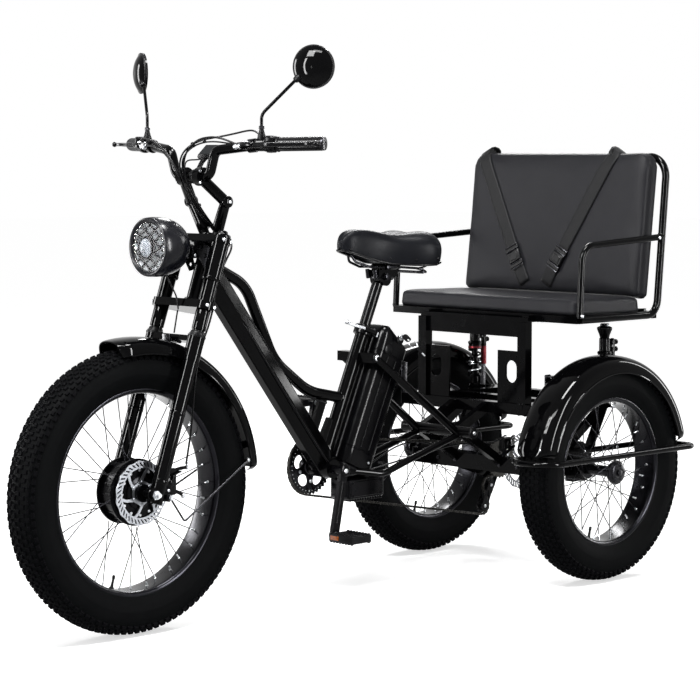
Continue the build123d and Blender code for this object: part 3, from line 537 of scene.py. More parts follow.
# %% Finishes on the CAD tubes and brackets
for material, names in (
    (powder_coat, "down_tube top_tube seat_tube rear_stays rear_deck axle_carriage wheel_guards"
                  " bench_frame armrests"),
    (fork_enamel, "fork_sliders fork_crowns fork_stanchions handlebar handlebar_risers"),
    (damper_coat, "axle_blocks cranks seat_post"),
    (black_steel, "front_axle left_rear_hub right_rear_hub"),
    (hub_cast, "hub_motor"),
    (spoke_wire, "front_spokes left_rear_spokes right_rear_spokes"),
    (cable_pvc, "control_cables"),
    (guard_plastic, "mirrors"),
):
    for name in names.split():
        cad[name].data.materials.clear()
        cad[name].data.materials.append(material)
print("CAD pieces shown:", sum(not node.hide_render for node in cad.values()))

# %% [markdown]
# ## Wheels
# A fat tyre is a carcass turned about the axle, from one bead over the crown to the other.
# Its hundreds of knobs are small tapered blocks set in rows across the tread, each row half a
# step behind the next, and longer ones on the shoulders make the outline jagged.

# %% Tyres
FRONT_R, REAR_R, WHEEL_X, REAR_STATION = 351.0, 302.0, 332.5, 1380.0
FRONT_AXLE = at(0, 0, FRONT_R)
REAR_AXLES = [(side, sign, at(sign * WHEEL_X, REAR_STATION, REAR_R))
              for side, sign in SIDES.items()]
KNOB_HIGH, KNOB_PITCH, TYRE_STEPS = 5.0, 21.0, 120
CARCASS = [  # x from the middle, depth under the outer radius
    (33, -104), (38.6, -97), (40.5, -91), (44.5, -82), (47.6, -73), (49.2, -64), (49.7, -61),
    (49.6, -59), (50, -50), (49.4, -42), (48.2, -34), (47.6, -32), (46.4, -27), (42, -19.5),
    (35, -13.5), (25, -9), (13, -6.3), (0, -KNOB_HIGH),
]
INSIDE = [(30, -106), (0, -107)]
TREAD_ROWS = [  # along the carcass from the crown: x, length, width, step within the pitch
    (0, 13, 11, 0.0), (13.5, 12, 10, 0.5), (26, 12, 10, 0.0), (36.5, 12, 9, 0.5),
    (44.3, 14, 10, 0.0),
]


def carcass_at(x):
    """Depth under the outer radius and the slope of the carcass at a distance from its middle."""
    crown = [point for point in CARCASS if point[1] > -33][::-1]
    xs, depths = [p[0] for p in crown], [p[1] for p in crown]
    depth, ahead, behind = (
        float(np.interp(place, xs, depths)) for place in (x, min(x + 1.5, 48), max(x - 1.5, 0)))
    return depth, atan2(behind - ahead, 3)


def knob(bm, foot, axes, long, wide):
    """A tapered block that stands on the carcass."""
    out, round_way, over = axes
    rings = []
    for up, shrink in ((0, 0), (KNOB_HIGH + 0.3, 1.6)):
        u, v = round_way * (long / 2 - shrink), over * (wide / 2 - shrink)
        rings.append([foot + (out * up + edge) * MM for edge in (u + v, v - u, -u - v, u - v)])
    loft(bm, rings)


def tyre(name, outer_r, axle, body):
    bm = bmesh.new()
    half = CARCASS + [(-x, depth) for x, depth in reversed(CARCASS[:-1])]
    half += [(-x, depth) for x, depth in INSIDE] + INSIDE[:1]
    turn(bm, axle, X, [(x, outer_r + depth) for x, depth in half], TYRE_STEPS, loop=True)
    count = round(2 * pi * outer_r / KNOB_PITCH)
    for x, long, wide, step in TREAD_ROWS:
        depth, slope = carcass_at(x)
        for side in (1, -1) if x else (1,):
            for t in around(count, step + (0.25 if side < 0 else 0)):
                radial = -round_x(t)
                round_way = X.cross(radial)
                out = radial * cos(slope) + X * (side * sin(slope))
                foot = axle + X * (side * x * MM) + radial * ((outer_r + depth - 1.0) * MM)
                knob(bm, foot, (out, round_way, round_way.cross(out)), long, wide)
    replaced = [name.replace("_fat", "")]
    made = piece(name, bm, tyre_rubber, body, replaced, whole=False)
    made.data.materials.append(knob_rubber)
    for face in made.data.polygons:
        face.material_index = int(min(face.vertices) >= TYRE_STEPS * len(half))


tyre("front_fat_tyre", FRONT_R, FRONT_AXLE, "front_wheel")
for side, sign, axle in REAR_AXLES:
    tyre(side + "_rear_fat_tyre", REAR_R, axle, side + "_rear_wheel")
print("knobs on the front tyre:", 9 * round(2 * pi * FRONT_R / KNOB_PITCH))

# %% [markdown]
# The rim is a wide rolled channel: two hooked lips that hold the beads and a shallow well
# between them. Each spoke ends in a nipple that stands on the inside of the well, and one
# short rubber valve points at the hub.

# %% Rims, nipples and valves
SPOKES, VALVE_AT = 36, 19.5
RIM = [  # from the middle out to a lip and back under it, the other half is its mirror image
    (38, 0), (38.6, -1.2), (38.3, -4), (36.4, -8.6), (32.5, -11.2), (27, -12.2), (12, -12.8),
]
RIM_INSIDE = [(10, -9.6), (30, -8.4), (34.6, -6), (35.5, -0.6)]


def flipped(profile):
    return [(-x, r) for x, r in reversed(profile)]


def spoke_ends(i, flange_r, flange_x, rim_r, lean_deg):
    """Where a spoke meets the flange and the rim, as (x, back, up) from the wheel's middle."""
    side, way = (1 if i % 2 else -1), (1 if i % 4 < 2 else -1)
    at_rim = 2 * pi / SPOKES * i
    at_hub = at_rim + radians(lean_deg) * way
    hub = (side * (flange_x + way * 2.5), flange_r * sin(at_hub), flange_r * cos(at_hub))
    rim = (side * (6 + way * 2.5), rim_r * sin(at_rim), rim_r * cos(at_rim))
    return Vector(hub), Vector(rim)


def rim(name, bead_r, axle, body, spokes, replaced):
    bm, nipples, valve = blanks(3)
    half = RIM + [(0, -13)] + flipped(RIM) + flipped(RIM_INSIDE) + RIM_INSIDE
    turn(bm, axle, X, [(x, bead_r + r) for x, r in half], 120, loop=True)
    piece(name, bm, rim_anodised, body, replaced)
    for i in range(SPOKES):
        hub_end, rim_end = (axle + p * MM for p in spoke_ends(i, *spokes))
        inward = (hub_end - rim_end).normalized()
        turn(nipples, rim_end - inward * 2 * MM, inward,
             [(0, 3.1), (3, 3.1), (4, 2.1), (13, 2.0), (14.5, 1.5)], 8)
    piece(name + "_nipples", nipples, bright_steel, body)
    turned = 2 * pi / SPOKES * VALVE_AT
    inward = -(Y * sin(turned) + Z * cos(turned))
    turn(valve, axle - inward * ((bead_r - 14) * MM), inward,
         [(-1, 7), (1, 6.6), (4, 4.3), (12, 3.3), (21, 3.1), (22, 2.8), (22.3, 4.0), (31, 3.8),
          (32.5, 2.6)], 14)
    piece(name + "_valve", valve, grip_rubber, body)


FRONT_BEAD, REAR_BEAD = 253.0, 203.0
rim("front_wheel_rim", FRONT_BEAD, FRONT_AXLE, "front_wheel", (84, 24, 240.5, 14), ["front_rim"])
for side, sign, axle in REAR_AXLES:
    rim(side + "_wheel_rim", REAR_BEAD, axle, side + "_rear_wheel", (30.5, 44, 190.5, 60),
        [side + "_rear_rim"])
print("rims turned")

# %% [markdown]
# A brake rotor is cut from 2 mm stainless sheet: a wavy outer edge, a ring of slanted slots
# that cool it, and six arms that slant so that braking pulls them straight.

# %% Brake rotors
def polar(points):
    """(u, v) points from (radius, angle) ones."""
    return [(r * cos(t), r * sin(t)) for r, t in points]


def rotor(name, centre, hub_r, body, replaced):
    """A rotor disc 2 mm thick about a place on the axle."""
    waves, arms, slots = 15, 6, 40
    outlines = [polar((78.6 + 1.3 * cos(waves * t), t) for t in around(180)), circle(hub_r, 36)]
    side = [(hub_r + 9, 0.0, 0.72), (40, -0.12, 0.86), (50, -0.22, 0.89), (60.5, -0.34, 0.91)]
    r_out, twist_out, width_out = side[-1]
    for middle in around(arms):
        edge = [(r, middle + twist - width / 2) for r, twist, width in side]
        edge += [(r_out, middle + twist_out + width_out * (k / 8 - 0.5)) for k in range(1, 8)]
        edge += [(r, middle + twist + width / 2) for r, twist, width in reversed(side)]
        outlines.append(polar(edge))
    for t in around(slots):
        outlines.append(polar((r, t + slant) for r, slant in (
            (64.8, -0.075), (64.8, -0.002), (70.2, 0.060), (75.4, 0.100), (75.4, 0.035),
            (70.0, -0.014))))
    bm = bmesh.new()
    press(bm, outlines, 2.0, centre)
    for t in around(arms, 0.5):
        screw(bm, centre + round_x(t) * ((hub_r + 5) * MM) + X * MM, X, 3.6, 2.2, "dome")
    piece(name, bm, rotor_steel, body, replaced)


rotor("front_rotor", at(42.25, 0, FRONT_R), 22, "front_wheel", ["front_brake_disc"])
rotor("rear_rotor", at(45.25, REAR_STATION, REAR_R), 10.2, "left_rear_wheel", ["rear_brake_disc"])
print("rotors cut")

# %% [markdown]
# The front hub is a motor in a cast drum with fins, and rings of small screws hold its
# covers. The rear hubs end in a round black cap with a nut.

# %% Hub screws, nuts and caps
cover_screws, fins, nuts = blanks(3)
COVERS = ((34.0, X), (-48.0, -X))
for t in around(12):
    for face, out in COVERS:
        screw(cover_screws, FRONT_AXLE + X * (face * MM) + round_x(t) * 0.055, out, 3.4, 2.6)
piece("motor_cover_screws", cover_screws, bright_steel, "front_wheel")
for t in around(18):
    draw(fins, [FRONT_AXLE + round_x(t) * 0.0712 + X * (p * MM) for p in (-36, -34, 20, 22)],
         oblong(5, 5, 1.2, 2), side=round_x(t), scale=[0.3, 1, 1, 0.3])
for face, out in COVERS:
    turn(fins, FRONT_AXLE + X * (face * MM), out,
         [(-2, 40), (3, 40), (4.5, 38), (4.5, 25), (6, 23), (6, 20)], 48)
piece("motor_fins", fins, hub_cast, "front_wheel")
for side, sign, axle in REAR_AXLES:
    bm, out = bmesh.new(), X * sign
    cap = axle + out * 0.062
    turn(bm, cap, out, [(-1, 27), (2.5, 27), (3.6, 25.5), (3.6, 14), (2.4, 13)], 40)
    screw(bm, cap + out * 0.002, out, 9, 6.5, "hex")
    for t in around(5):
        screw(bm, cap + round_x(t) * 0.0195 + out * 0.0034, out, 2.8, 1.8)
    piece(side + "_hub_cap_trim", bm, black_steel, side + "_rear_wheel")
for out in (X, -X):
    end = FRONT_AXLE + out * 0.099
    screw(nuts, end, out, 9.5, 6.5, "hex")
    turn(nuts, end + out * 0.006, out, [(0, 6), (7, 6), (8, 5)], 16)
piece("front_axle_nuts", nuts, bright_steel, "steering")
print("hub trim added")

# %% [markdown]
# ## Seats
# **Vinyl** is PVC cast on a release paper that gives it a leather grain of small cells, about
# 1.5 mm each. The bench pads are wrapped in a satin grade and the saddle in a glossier one.
# The cells are a Voronoi pattern, whose distance to an edge falls to nothing at the cell
# walls and so makes the creases.

# %% Vinyl
def vinyl(name, colour, worn, roughness, cell_mm, crease_mm, **shader):
    """Grained vinyl: the common layout with cell creases added under its bump."""
    made = finish(name, colour, worn, roughness, 0.9, 0.02, patch_mm=90, **shader)
    tree = made.node_tree
    place = part_of(made, "TexCoord").outputs["Object"]
    warp = add_node(tree, "TexNoise", {"Vector": place, "Scale": per(6), "Detail": 2.0})
    shifted = add_node(tree, "VectorMath", {
        0: warp.outputs["Color"], 1: (0.0015, 0.0015, 0.0015),
    }, operation="MULTIPLY")
    moved = add_node(tree, "VectorMath", {0: place, 1: shifted.outputs[0]}, operation="ADD")
    cells = add_node(tree, "TexVoronoi", {
        "Vector": moved.outputs[0], "Scale": per(cell_mm), "Randomness": 0.9,
    }, feature="DISTANCE_TO_EDGE")
    walls = add_node(tree, "MapRange", {
        "Value": cells.outputs["Distance"], "From Min": 0.0, "From Max": 0.18,
    })
    crease = add_node(tree, "Bump", {
        "Height": walls.outputs["Result"], "Strength": 1.0, "Distance": crease_mm * MM,
        "Normal": part_of(made, "Bump").outputs["Normal"],
    })
    tree.links.new(crease.outputs["Normal"], part_of(made, "BsdfPrincipled").inputs["Normal"])
    return made


bench_vinyl = vinyl(
    "satin_grained_vinyl", "#1b1b1f", "#202024", 0.46, 1.6, 0.07, index=1.54, gloss=0.04,
    Sheen_Weight=0.03, Sheen_Roughness=0.5)
saddle_vinyl = vinyl(
    "gloss_grained_vinyl", "#141519", "#1a1b1f", 0.38, 1.4, 0.02, index=1.54, gloss=0.022)
print("vinyl cells 1.6 and 1.4 mm")

# %% [markdown]
# The bench pads are foam on plywood in a stretched wrap, so the edges are round and the faces
# swell a little. A cloth under pressure does that: a slightly smaller block is remeshed into
# even squares, inflated for twenty frames and stopped where the foam would stop it. The side
# that lies on the board stays flat.

# %% Inflated pads
PAD_VOXEL = 0.0085


def pad_block(size, corner, edge, foot):
    """A closed block; seen from the front its upper corners are rounder than its lower ones."""
    wide, deep, high = size

    def face(inset):
        points = []
        for quarter in range(4):
            radius = max(2, (corner if quarter < 2 else foot) - inset * 0.6)
            cx = (wide / 2 - inset - radius) * (1 if quarter in (0, 3) else -1)
            cz = (high / 2 - inset - radius) * (1 if quarter < 2 else -1)
            for k in range(7):
                t = pi / 2 * (quarter + k / 6)
                points.append((cx + radius * cos(t), cz + radius * sin(t)))
        return points

    bm = bmesh.new()
    rings, steps = [], 6
    for end, order in ((-1, range(steps + 1)), (1, range(steps, -1, -1))):
        for i in order:
            t = pi / 2 * i / steps
            v = end * (deep / 2 - edge + edge * cos(t))
            rings.append([Vector((a, v, b)) * MM for a, b in face(edge * (1 - sin(t)))])
    loft(bm, rings)
    bmesh.ops.recalc_face_normals(bm, faces=bm.faces)
    return bm


def evaluated(obj):
    """The object as its modifiers leave it."""
    return obj.evaluated_get(bpy.context.evaluated_depsgraph_get())


def inflate(obj, pressure, cap, flat_side):
    """Cloth under pressure; each point moves at most cap, and none of the flat side's do."""
    start = np.array([v.co for v in obj.data.vertices])
    settings = obj.modifiers.new("cloth", "CLOTH").settings
    settings.quality = 4
    settings.mass = 0.3
    settings.tension_stiffness = settings.compression_stiffness = 24
    settings.shear_stiffness = 12
    settings.bending_stiffness = 4
    settings.use_pressure = True
    settings.uniform_pressure_force = pressure
    settings.effector_weights.gravity = 0
    for frame_number in range(1, 21):
        scene.frame_set(frame_number)
    end = np.array([v.co for v in evaluated(obj).to_mesh().vertices])
    obj.modifiers.clear()
    scene.frame_set(1)
    move = end - start
    length = np.linalg.norm(move, axis=1, keepdims=True)
    move *= np.minimum(1, cap / np.maximum(length, 1e-9))
    free = np.clip((flat_side - start[:, 1]) / 0.012, 0, 1)[:, None]
    obj.data.vertices.foreach_set("co", (start + move * free).astype(np.float32).ravel())
    obj.data.update()
    print(obj.name, "swelled by up to", round(float(np.abs(move).max()) / MM, 1), "mm")


def wrap_marks(obj, high, wide, corner, deep):
    """Long shallow ripples of a stretched wrap, and pleats gathered round the corners."""
    for vert in obj.data.vertices:
        x, y, z = vert.co / MM
        front = min(1, max(0, (deep / 2 - 6 - y) / deep))
        ripple = sin(x / 41 + 1.7 * sin(z / 67)) * sin(z / 53 + x / 190)
        vert.co.y += 0.55 * MM * ripple * front
        dx, dz = abs(x) - (wide / 2 - corner), abs(z) - (high / 2 - corner)
        if dx > 0 and dz > 0 and abs(y) < deep / 2 - 4:
            t = atan2(dz, dx)
            pull = 0.9 * cos(11 * t) * (0.5 + y / deep)
            vert.co.x += copysign(cos(t), x) * pull * MM
            vert.co.z += copysign(sin(t), z) * pull * MM


def pad(name, size, corner, foot, edge, place, swell, replaced):
    """A foam pad wrapped in vinyl: a block that is inflated, smoothed and put in its place."""
    bm = pad_block(size, corner, edge, foot)
    made = piece(name, bm, bench_vinyl, "frame", [replaced], whole=False)
    remesh = made.modifiers.new("remesh", "REMESH")
    remesh.mode = "VOXEL"
    remesh.voxel_size = PAD_VOXEL
    even = bpy.data.meshes.new_from_object(evaluated(made))
    made.modifiers.clear()
    made.data = even
    inflate(made, 4.0, swell * MM, (size[1] / 2 - 8) * MM)
    wrap_marks(made, size[2], size[0], corner, size[1])
    bm = bmesh.new()
    bm.from_mesh(made.data)
    for _ in range(2):
        bmesh.ops.smooth_vert(bm, verts=bm.verts, factor=0.5, use_axis_x=True, use_axis_y=True,
                              use_axis_z=True)
    bmesh.ops.subdivide_edges(bm, edges=bm.edges, cuts=1, smooth=0.4, use_grid_fill=True)
    bm.to_mesh(made.data)
    bm.free()
    made.data.transform(place)
    made.data.shade_smooth()
    if not made.data.materials:
        made.data.materials.append(bench_vinyl)
    return made


BACK_UP = leaning(radians(6.5))[0]
BACK_PLACE = frame_at(at(0, 1581.7, 976.9), X, BACK_UP.cross(X), BACK_UP)
back_pad = pad("padded_backrest", (668, 46, 412), 44, 16, 11,
               BACK_PLACE @ Matrix.Translation((0, 0, -0.008)), 7, "backrest")
# The bench pad is made standing on its front edge, and lies with its front a little higher.
CUSHION_PLACE = (Matrix.Translation(at(0, 1408, 750)) @ Matrix.Rotation(radians(-1.0), 4, "X")
                 @ Matrix((X, -Z, Y)).transposed().to_4x4())
bench_pad = pad("padded_bench_cushion", (673, 44, 285), 22, 22, 8, CUSHION_PLACE, 4,
                "bench_cushion")
print("pads", len(back_pad.data.polygons), "and", len(bench_pad.data.polygons), "faces")

# %% [markdown]
# The child harness is two belts of 40 mm nylon webbing that come over the top of the backrest
# and slant down to the seat. **Webbing** is a diagonal weave about 1.5 mm a pick, drawn here
# at 2.4 mm so that it shows. Each belt is a thin ribbon laid point by point on the pad.

# %% Webbing
webbing = finish(
    "woven_nylon_webbing", "#0f0f11", "#151517", 0.6, 1.2, 0.05, patch_mm=30, index=1.53,
    gloss=0.06, Sheen_Weight=0.08, Sheen_Roughness=0.4)
tree = webbing.node_tree
ribbon_place = add_node(tree, "UVMap", uv_map="belt").outputs["UV"]
weave = add_node(tree, "TexWave", {
    "Vector": ribbon_place, "Scale": per(2.4) / 20, "Distortion": 0.6, "Detail": 1.0,
}, wave_type="BANDS", bands_direction="DIAGONAL")
weave_relief = add_node(tree, "Bump", {
    "Height": weave.outputs["Fac"], "Strength": 1.0, "Distance": 0.25 * MM,
    "Normal": part_of(webbing, "Bump").outputs["Normal"],
})
tree.links.new(weave_relief.outputs["Normal"], part_of(webbing, "BsdfPrincipled").inputs["Normal"])
print("webbing pick 2.4 mm")

# %% Belts
pad_tree = BVHTree.FromObject(back_pad, bpy.context.evaluated_depsgraph_get())
BACK_FRAME = BACK_PLACE.to_3x3()


def on_back(x, z, lift):
    """A place lying on the front of the backrest, lifted off it by a few millimetres."""
    start = BACK_PLACE @ (Vector((x, -120, z)) * MM)
    found = pad_tree.ray_cast(start, BACK_FRAME @ Y)[0]
    flat = BACK_PLACE @ (Vector((x, -23, z)) * MM)
    return (found or flat) - BACK_FRAME @ Y * (lift * MM)


BELT_WIDE, BELT_THICK, BELT_TOP, BELT_LOW = 40.0, 2.0, 186.0, -186.0


def belt(name, high_x, low_x):
    """A ribbon over the top of the backrest and down its front, and its two directions."""
    steps = 44
    heading = Vector((low_x - high_x, 0, BELT_LOW - BELT_TOP)).normalized()
    square = Vector((-heading.z, 0, heading.x))
    shares, rows = np.linspace(-0.5, 0.5, 7), []
    for y_back, z_over in ((27, 178), (26, 194), (17, 201), (0, 203.5), (-15, 200)):
        middle = Vector((high_x, y_back, z_over))
        rows.append([BACK_PLACE @ ((middle + square * (u * BELT_WIDE)) * MM) for u in shares])
    for i in range(steps + 1):
        t = i / steps
        x, z = high_x + (low_x - high_x) * t, BELT_TOP + (BELT_LOW - BELT_TOP) * t
        rows.append([])
        for u in shares:
            curl = 1.3 * (2 * u) ** 4 + 0.9 * sin(t * 9 + 4 * u)
            side = square * (u * BELT_WIDE)
            rows[-1].append(on_back(x + side.x, z + side.z, 1.6 + BELT_THICK / 2 + 0.5 * curl))
    bm = bmesh.new()
    sheet = bm.loops.layers.uv.new("belt")
    grid = [[bm.verts.new(p) for p in row] for row in rows]
    for i in range(len(grid) - 1):
        for j in range(6):
            face = bm.faces.new((grid[i][j], grid[i][j + 1], grid[i + 1][j + 1], grid[i + 1][j]))
            for loop, (a, b) in zip(face.loops, ((i, j), (i, j + 1), (i + 1, j + 1), (i + 1, j))):
                loop[sheet].uv = (b * BELT_WIDE / 6 * MM, a * 10 * MM)
    made = piece(name, bm, webbing, "frame", ["harness"])
    thicken = made.modifiers.new("thick", "SOLIDIFY")
    thicken.thickness = BELT_THICK * MM
    thicken.offset = 0
    return heading, square


def buckle(bm, bars, centre, heading, square, wide=BELT_WIDE):
    """A side-release buckle with a ladder bar at each end, square to its belt."""
    along, across = BACK_FRAME @ heading, BACK_FRAME @ square
    out = across.cross(along).normalized()
    if out.dot(BACK_FRAME @ Y) > 0:
        out = -out
    axes = (across, along, out)
    mill(bm, centre, (wide + 4, 34, 9), 3, axes)
    mill(bm, centre + out * 0.003, (wide - 12, 22, 6), 2, axes)
    for end in (-1, 1):
        mill(bm, centre + along * (end * 0.024), (wide + 8, 12, 5), 1.5, axes)
        mill(bars, centre + along * (end * 0.0335) + out * 0.0025, (wide + 9, 3.2, 3.2), 1, axes)
        mill(bars, centre + along * (end * 0.0195) + out * 0.0035, (wide + 7, 2.4, 2.4), 0.8,
             axes)


BUCKLE_SHARE = 0.80
buckles, bright_bars = blanks(2)
for name, high_x, low_x in (("left_belt", 206, -4), ("right_belt", -284, -84)):
    heading, square = belt(name, high_x, low_x)
    x = high_x + (low_x - high_x) * BUCKLE_SHARE
    z = BELT_TOP + (BELT_LOW - BELT_TOP) * BUCKLE_SHARE
    buckle(buckles, bright_bars, on_back(x, z, 6.5), heading, square)
piece("harness_buckles", buckles, nylon, "frame")
piece("harness_slider_bars", bright_bars, black_steel, "frame")
print("belts laid")

# %% [markdown]
# The saddle is foam moulded on a plastic shell. It changes from a narrow nose to two wide
# seats with a groove between, so it is lofted from cross sections of their own width, top and
# skirt, then subdivided. The shell's lip shows under the skirt.

# %% Saddle
SADDLE_STATIONS = [706, 712, 724, 746, 780, 815, 845, 875, 905, 937, 965, 988, 1001, 1006]
SADDLE_HALF = [9, 17, 25, 30, 34, 42, 54, 71, 91, 107, 113, 105, 83, 54]
SADDLE_TOP = [938, 951, 962, 969, 970, 965, 958, 955, 957, 962, 963, 957, 943, 924]
SADDLE_LOW = [915, 912, 908, 902, 892, 882, 875, 872, 870, 869, 870, 875, 886, 902]
SECTION = [  # share of half width, share of height: from the groove round to the underside
    (0.0, 0.93), (0.2, 0.965), (0.42, 1.0), (0.62, 0.975), (0.79, 0.89), (0.9, 0.78),
    (0.965, 0.66), (0.995, 0.53), (1.0, 0.4), (0.985, 0.25), (0.955, 0.1), (0.915, 0.0),
    (0.84, 0.02), (0.7, 0.12), (0.35, 0.2), (0.0, 0.2),
]


def saddle_ring(i, grow=0.0):
    half, top, low = SADDLE_HALF[i] + grow, SADDLE_TOP[i] + grow, SADDLE_LOW[i] - grow
    points = [(half * u, low + (top - low) * v) for u, v in SECTION]
    points += [(-x, z) for x, z in reversed(points[1:-1])]
    return [at(x, SADDLE_STATIONS[i], z) for x, z in points]


bm = bmesh.new()
loft(bm, [saddle_ring(i) for i in range(len(SADDLE_STATIONS))])
saddle = piece("saddle_pad", bm, saddle_vinyl, "frame", ["saddle"])
saddle.data.shade_smooth()
for edge in saddle.data.edges:
    edge.use_edge_sharp = False
rounder = saddle.modifiers.new("rounder", "SUBSURF")
rounder.levels = rounder.render_levels = 2
bm = bmesh.new()
lip = [saddle_ring(i, -2.0)[11] + Z * 0.001 for i in range(1, len(SADDLE_STATIONS) - 1)]
lip += [Vector((-p.x, p.y, p.z)) for p in reversed(lip)]
draw(bm, lip, oblong(5, 9, 1.5, 2), side=Z, loop=True)
piece("saddle_shell_lip", bm, nylon, "frame")
print("saddle", len(SADDLE_STATIONS), "sections")

# %% [markdown]
# Two bent steel rails and two coil springs carry the shell, and black rivets hold the skirt.

# %% Saddle rails, springs and rivets
def helix(foot, top, radius, coils, per_coil=14):
    """Points of a coil spring between two places, with a flat coil at each end."""
    axis = (top - foot).normalized()
    u = square_to(axis)
    v = axis.cross(u)
    count = int(coils * per_coil)
    points = []
    for i in range(count + 1):
        t = i / count
        rise = min(max((t * coils - 0.8) / (coils - 1.6), 0), 1)
        a = 2 * pi * coils * t
        points.append(foot.lerp(top, rise) + (u * cos(a) + v * sin(a)) * (radius * MM))
    return points


bm, springs, rivets = blanks(3)
for sign in (1, -1):
    rail = [at(sign * 6, 742, 903), at(sign * 12, 752, 884), at(sign * 22, 800, 869),
            at(sign * 22, 905, 866), at(sign * 46, 950, 862), at(sign * 52, 968, 858)]
    draw(bm, bend(rail, 18), circle(3.5, 12))
    spring_foot, spring_top = at(sign * 50, 962, 853), at(sign * 50, 962, 889)
    draw(springs, helix(spring_foot, spring_top, 13, 4.2), circle(2.3, 8))
    rod(bm, spring_foot - Z * 0.004, spring_foot + Z * 0.002, 15)
    for i in range(2, 11, 2):
        spot = saddle_ring(i)[9 if sign > 0 else 21]
        screw(rivets, spot - X * sign * 0.0015 - Z * 0.004, X * sign - Z * 0.25, 3.2, 2.4, "dome")
    screw(bm, at(sign * 26, 855, 842), X * sign, 9, 7, "hex")
    rod(bm, at(sign * 14, 826, 838), at(sign * 14, 822, 862), 6)
rod(bm, at(-58, 962, 851), at(58, 962, 851), 4)
mill(bm, at(0, 873, 868), (66, 44, 16), 5)
mill(bm, at(0, 868, 846), (40, 56, 30), 7)
piece("saddle_rails_and_clamp", bm, black_steel, "frame")
piece("saddle_springs", springs, black_steel, "frame")
piece("saddle_rivets", rivets, nylon, "frame")
print("rails bent")

# %% [markdown]
# ## Fork, mudguards and lamp
# The mudguards are moulded sheets 3 mm thick with a crowned section and a bead along each
# edge. The section follows an arc and narrows over the last few degrees to round the ends.

# %% Mudguards
def overhead(deg):
    """The direction square to X at degrees from straight up towards the rear."""
    return Z * cos(radians(deg)) + Y * sin(radians(deg))


def mudguard(name, middle, outer_r, half, first_deg, last_deg, depth, body, replaced):
    """A crowned sheet bent round a wheel; angles run from straight up towards the rear."""
    thick, end_length, end_share = 3.0, 26, 0.72
    outline = []
    for t in np.linspace(-pi / 2, pi / 2, 25):
        x = half * copysign(abs(sin(t)) ** 0.86, t)
        outline.append((x, -depth * (1 - max(cos(t), 0) ** 0.52)))
    rows = []
    steps = max(40, int((last_deg - first_deg) / 1.5))
    for i in range(steps + 1):
        deg = first_deg + (last_deg - first_deg) * i / steps
        past_end = 1 - min(deg - first_deg, last_deg - deg) * radians(1) * outer_r / end_length
        narrow = end_share + (1 - end_share) * sqrt(max(0, 1 - max(0, past_end) ** 2))
        out = overhead(deg)
        outside, inside = [], []
        for x, y in outline:
            lean = (x / half) ** 3
            skin = middle + (X * x * narrow + out * (outer_r + y)) * MM
            outside.append(skin)
            inside.append(skin - (X * lean + out * (1 - abs(lean) * 0.6)) * (thick * MM))
        rows.append(outside + inside[::-1])
    bm = bmesh.new()
    loft(bm, rows)
    for edge in (0, 24):
        draw(bm, [row[edge] for row in rows[2:-2]], circle(2.6, 8))
    piece(name, bm, guard_plastic, body, replaced)


def rear_guard_middle(sign, x=0):
    return at(sign * (WHEEL_X + 1) + x, REAR_STATION + 8, REAR_R - 1)


mudguard("front_mudguard_shell", at(0, 6, 350), 377, 57, -11, 86, 38, "steering",
         ["front_mudguard"])
for side, sign in SIDES.items():
    mudguard(side + "_rear_mudguard_shell", rear_guard_middle(sign), 319, 60, -78, 77, 46, "frame",
             ["rear_mudguards"])
bm, bolts, rear_bolts = blanks(3)
for sign in (1, -1):
    out = X * sign
    wire = [at(sign * 94.1, 46, 340), at(sign * 94, 91, 277), at(sign * 60.5, 332, 404)]
    draw(bm, [at(sign * 98, 46, 340)] + bend(wire, 9), circle(2.5, 10))
    turn(bm, at(sign * 89.5, 46, 340), out,
         [(0, 8.5), (3, 8.5), (3.6, 7.5), (9, 7.2), (9.5, 6.5)], 18)
    screw(bolts, at(sign * 99, 46, 340), out, 5.5, 4, "hex")
    turn(bm, at(sign * 57, 329, 402), out, [(0, 7), (4, 7), (5.5, 5.5)], 14)
    screw(bolts, at(sign * 62, 329, 402), out, 4.2, 3, "dome")
    for deg in (-74, 73):
        for x in (-34, 34):
            spot = rear_guard_middle(sign, x) + overhead(deg) * 0.3125
            screw(rear_bolts, spot, overhead(deg), 4.6, 3.2, "dome")
piece("mudguard_wires", bm, black_steel, "steering")
piece("front_mudguard_bolts", bolts, bright_steel, "steering")
piece("rear_mudguard_bolts", rear_bolts, bright_steel, "frame")
print("mudguards bent")

# %% [markdown]
# The front mudguard hangs from the fork bridge, the rear ones stand on stays on the deck.

# %% Mudguard brackets
bm = bmesh.new()
mill(bm, on_fork(0, -34, 386), (34, 22, 10), 2, (X, STEER_BACK, STEER_UP))
mill(bm, at(0, 116, 712), (30, 4, 34), 1.5)
piece("front_mudguard_bracket", bm, black_steel, "steering")
bm, stay_bolts = blanks(2)
DECK_STATIONS, DECK_Z, GUARD_UNDERSIDE = (1226, 1560), 470, 316
for sign in (1, -1):
    for station in DECK_STATIONS:
        lean = asin((station - (REAR_STATION + 8)) / GUARD_UNDERSIDE)
        high = REAR_R - 1 + GUARD_UNDERSIDE * cos(lean)
        mill(bm, at(sign * 272, station, (DECK_Z + high) / 2), (5, 22, high - DECK_Z), 1.5)
        mill(bm, at(sign * 283, station, high - 4.5), (26, 24, 4), 1.2)
        screw(stay_bolts, at(sign * 275, station, DECK_Z), X * sign, 5.5, 4, "hex")
piece("rear_mudguard_stays", bm, black_steel, "frame")
piece("rear_mudguard_stay_bolts", stay_bolts, bright_steel, "frame")
print("brackets added")

# %% [markdown]
# The fork's sliders carry rubber wipers, the sleeves end in caps with a preload knob, and each
# crown is pinched on the legs by bright socket screws.

# %% Fork trim
def ring_on_leg(bm, x, behind, up, *profile):
    """Turns a profile round a fork leg or the steering tube."""
    turn(bm, on_fork(x, behind, up), STEER_UP, profile, 40)


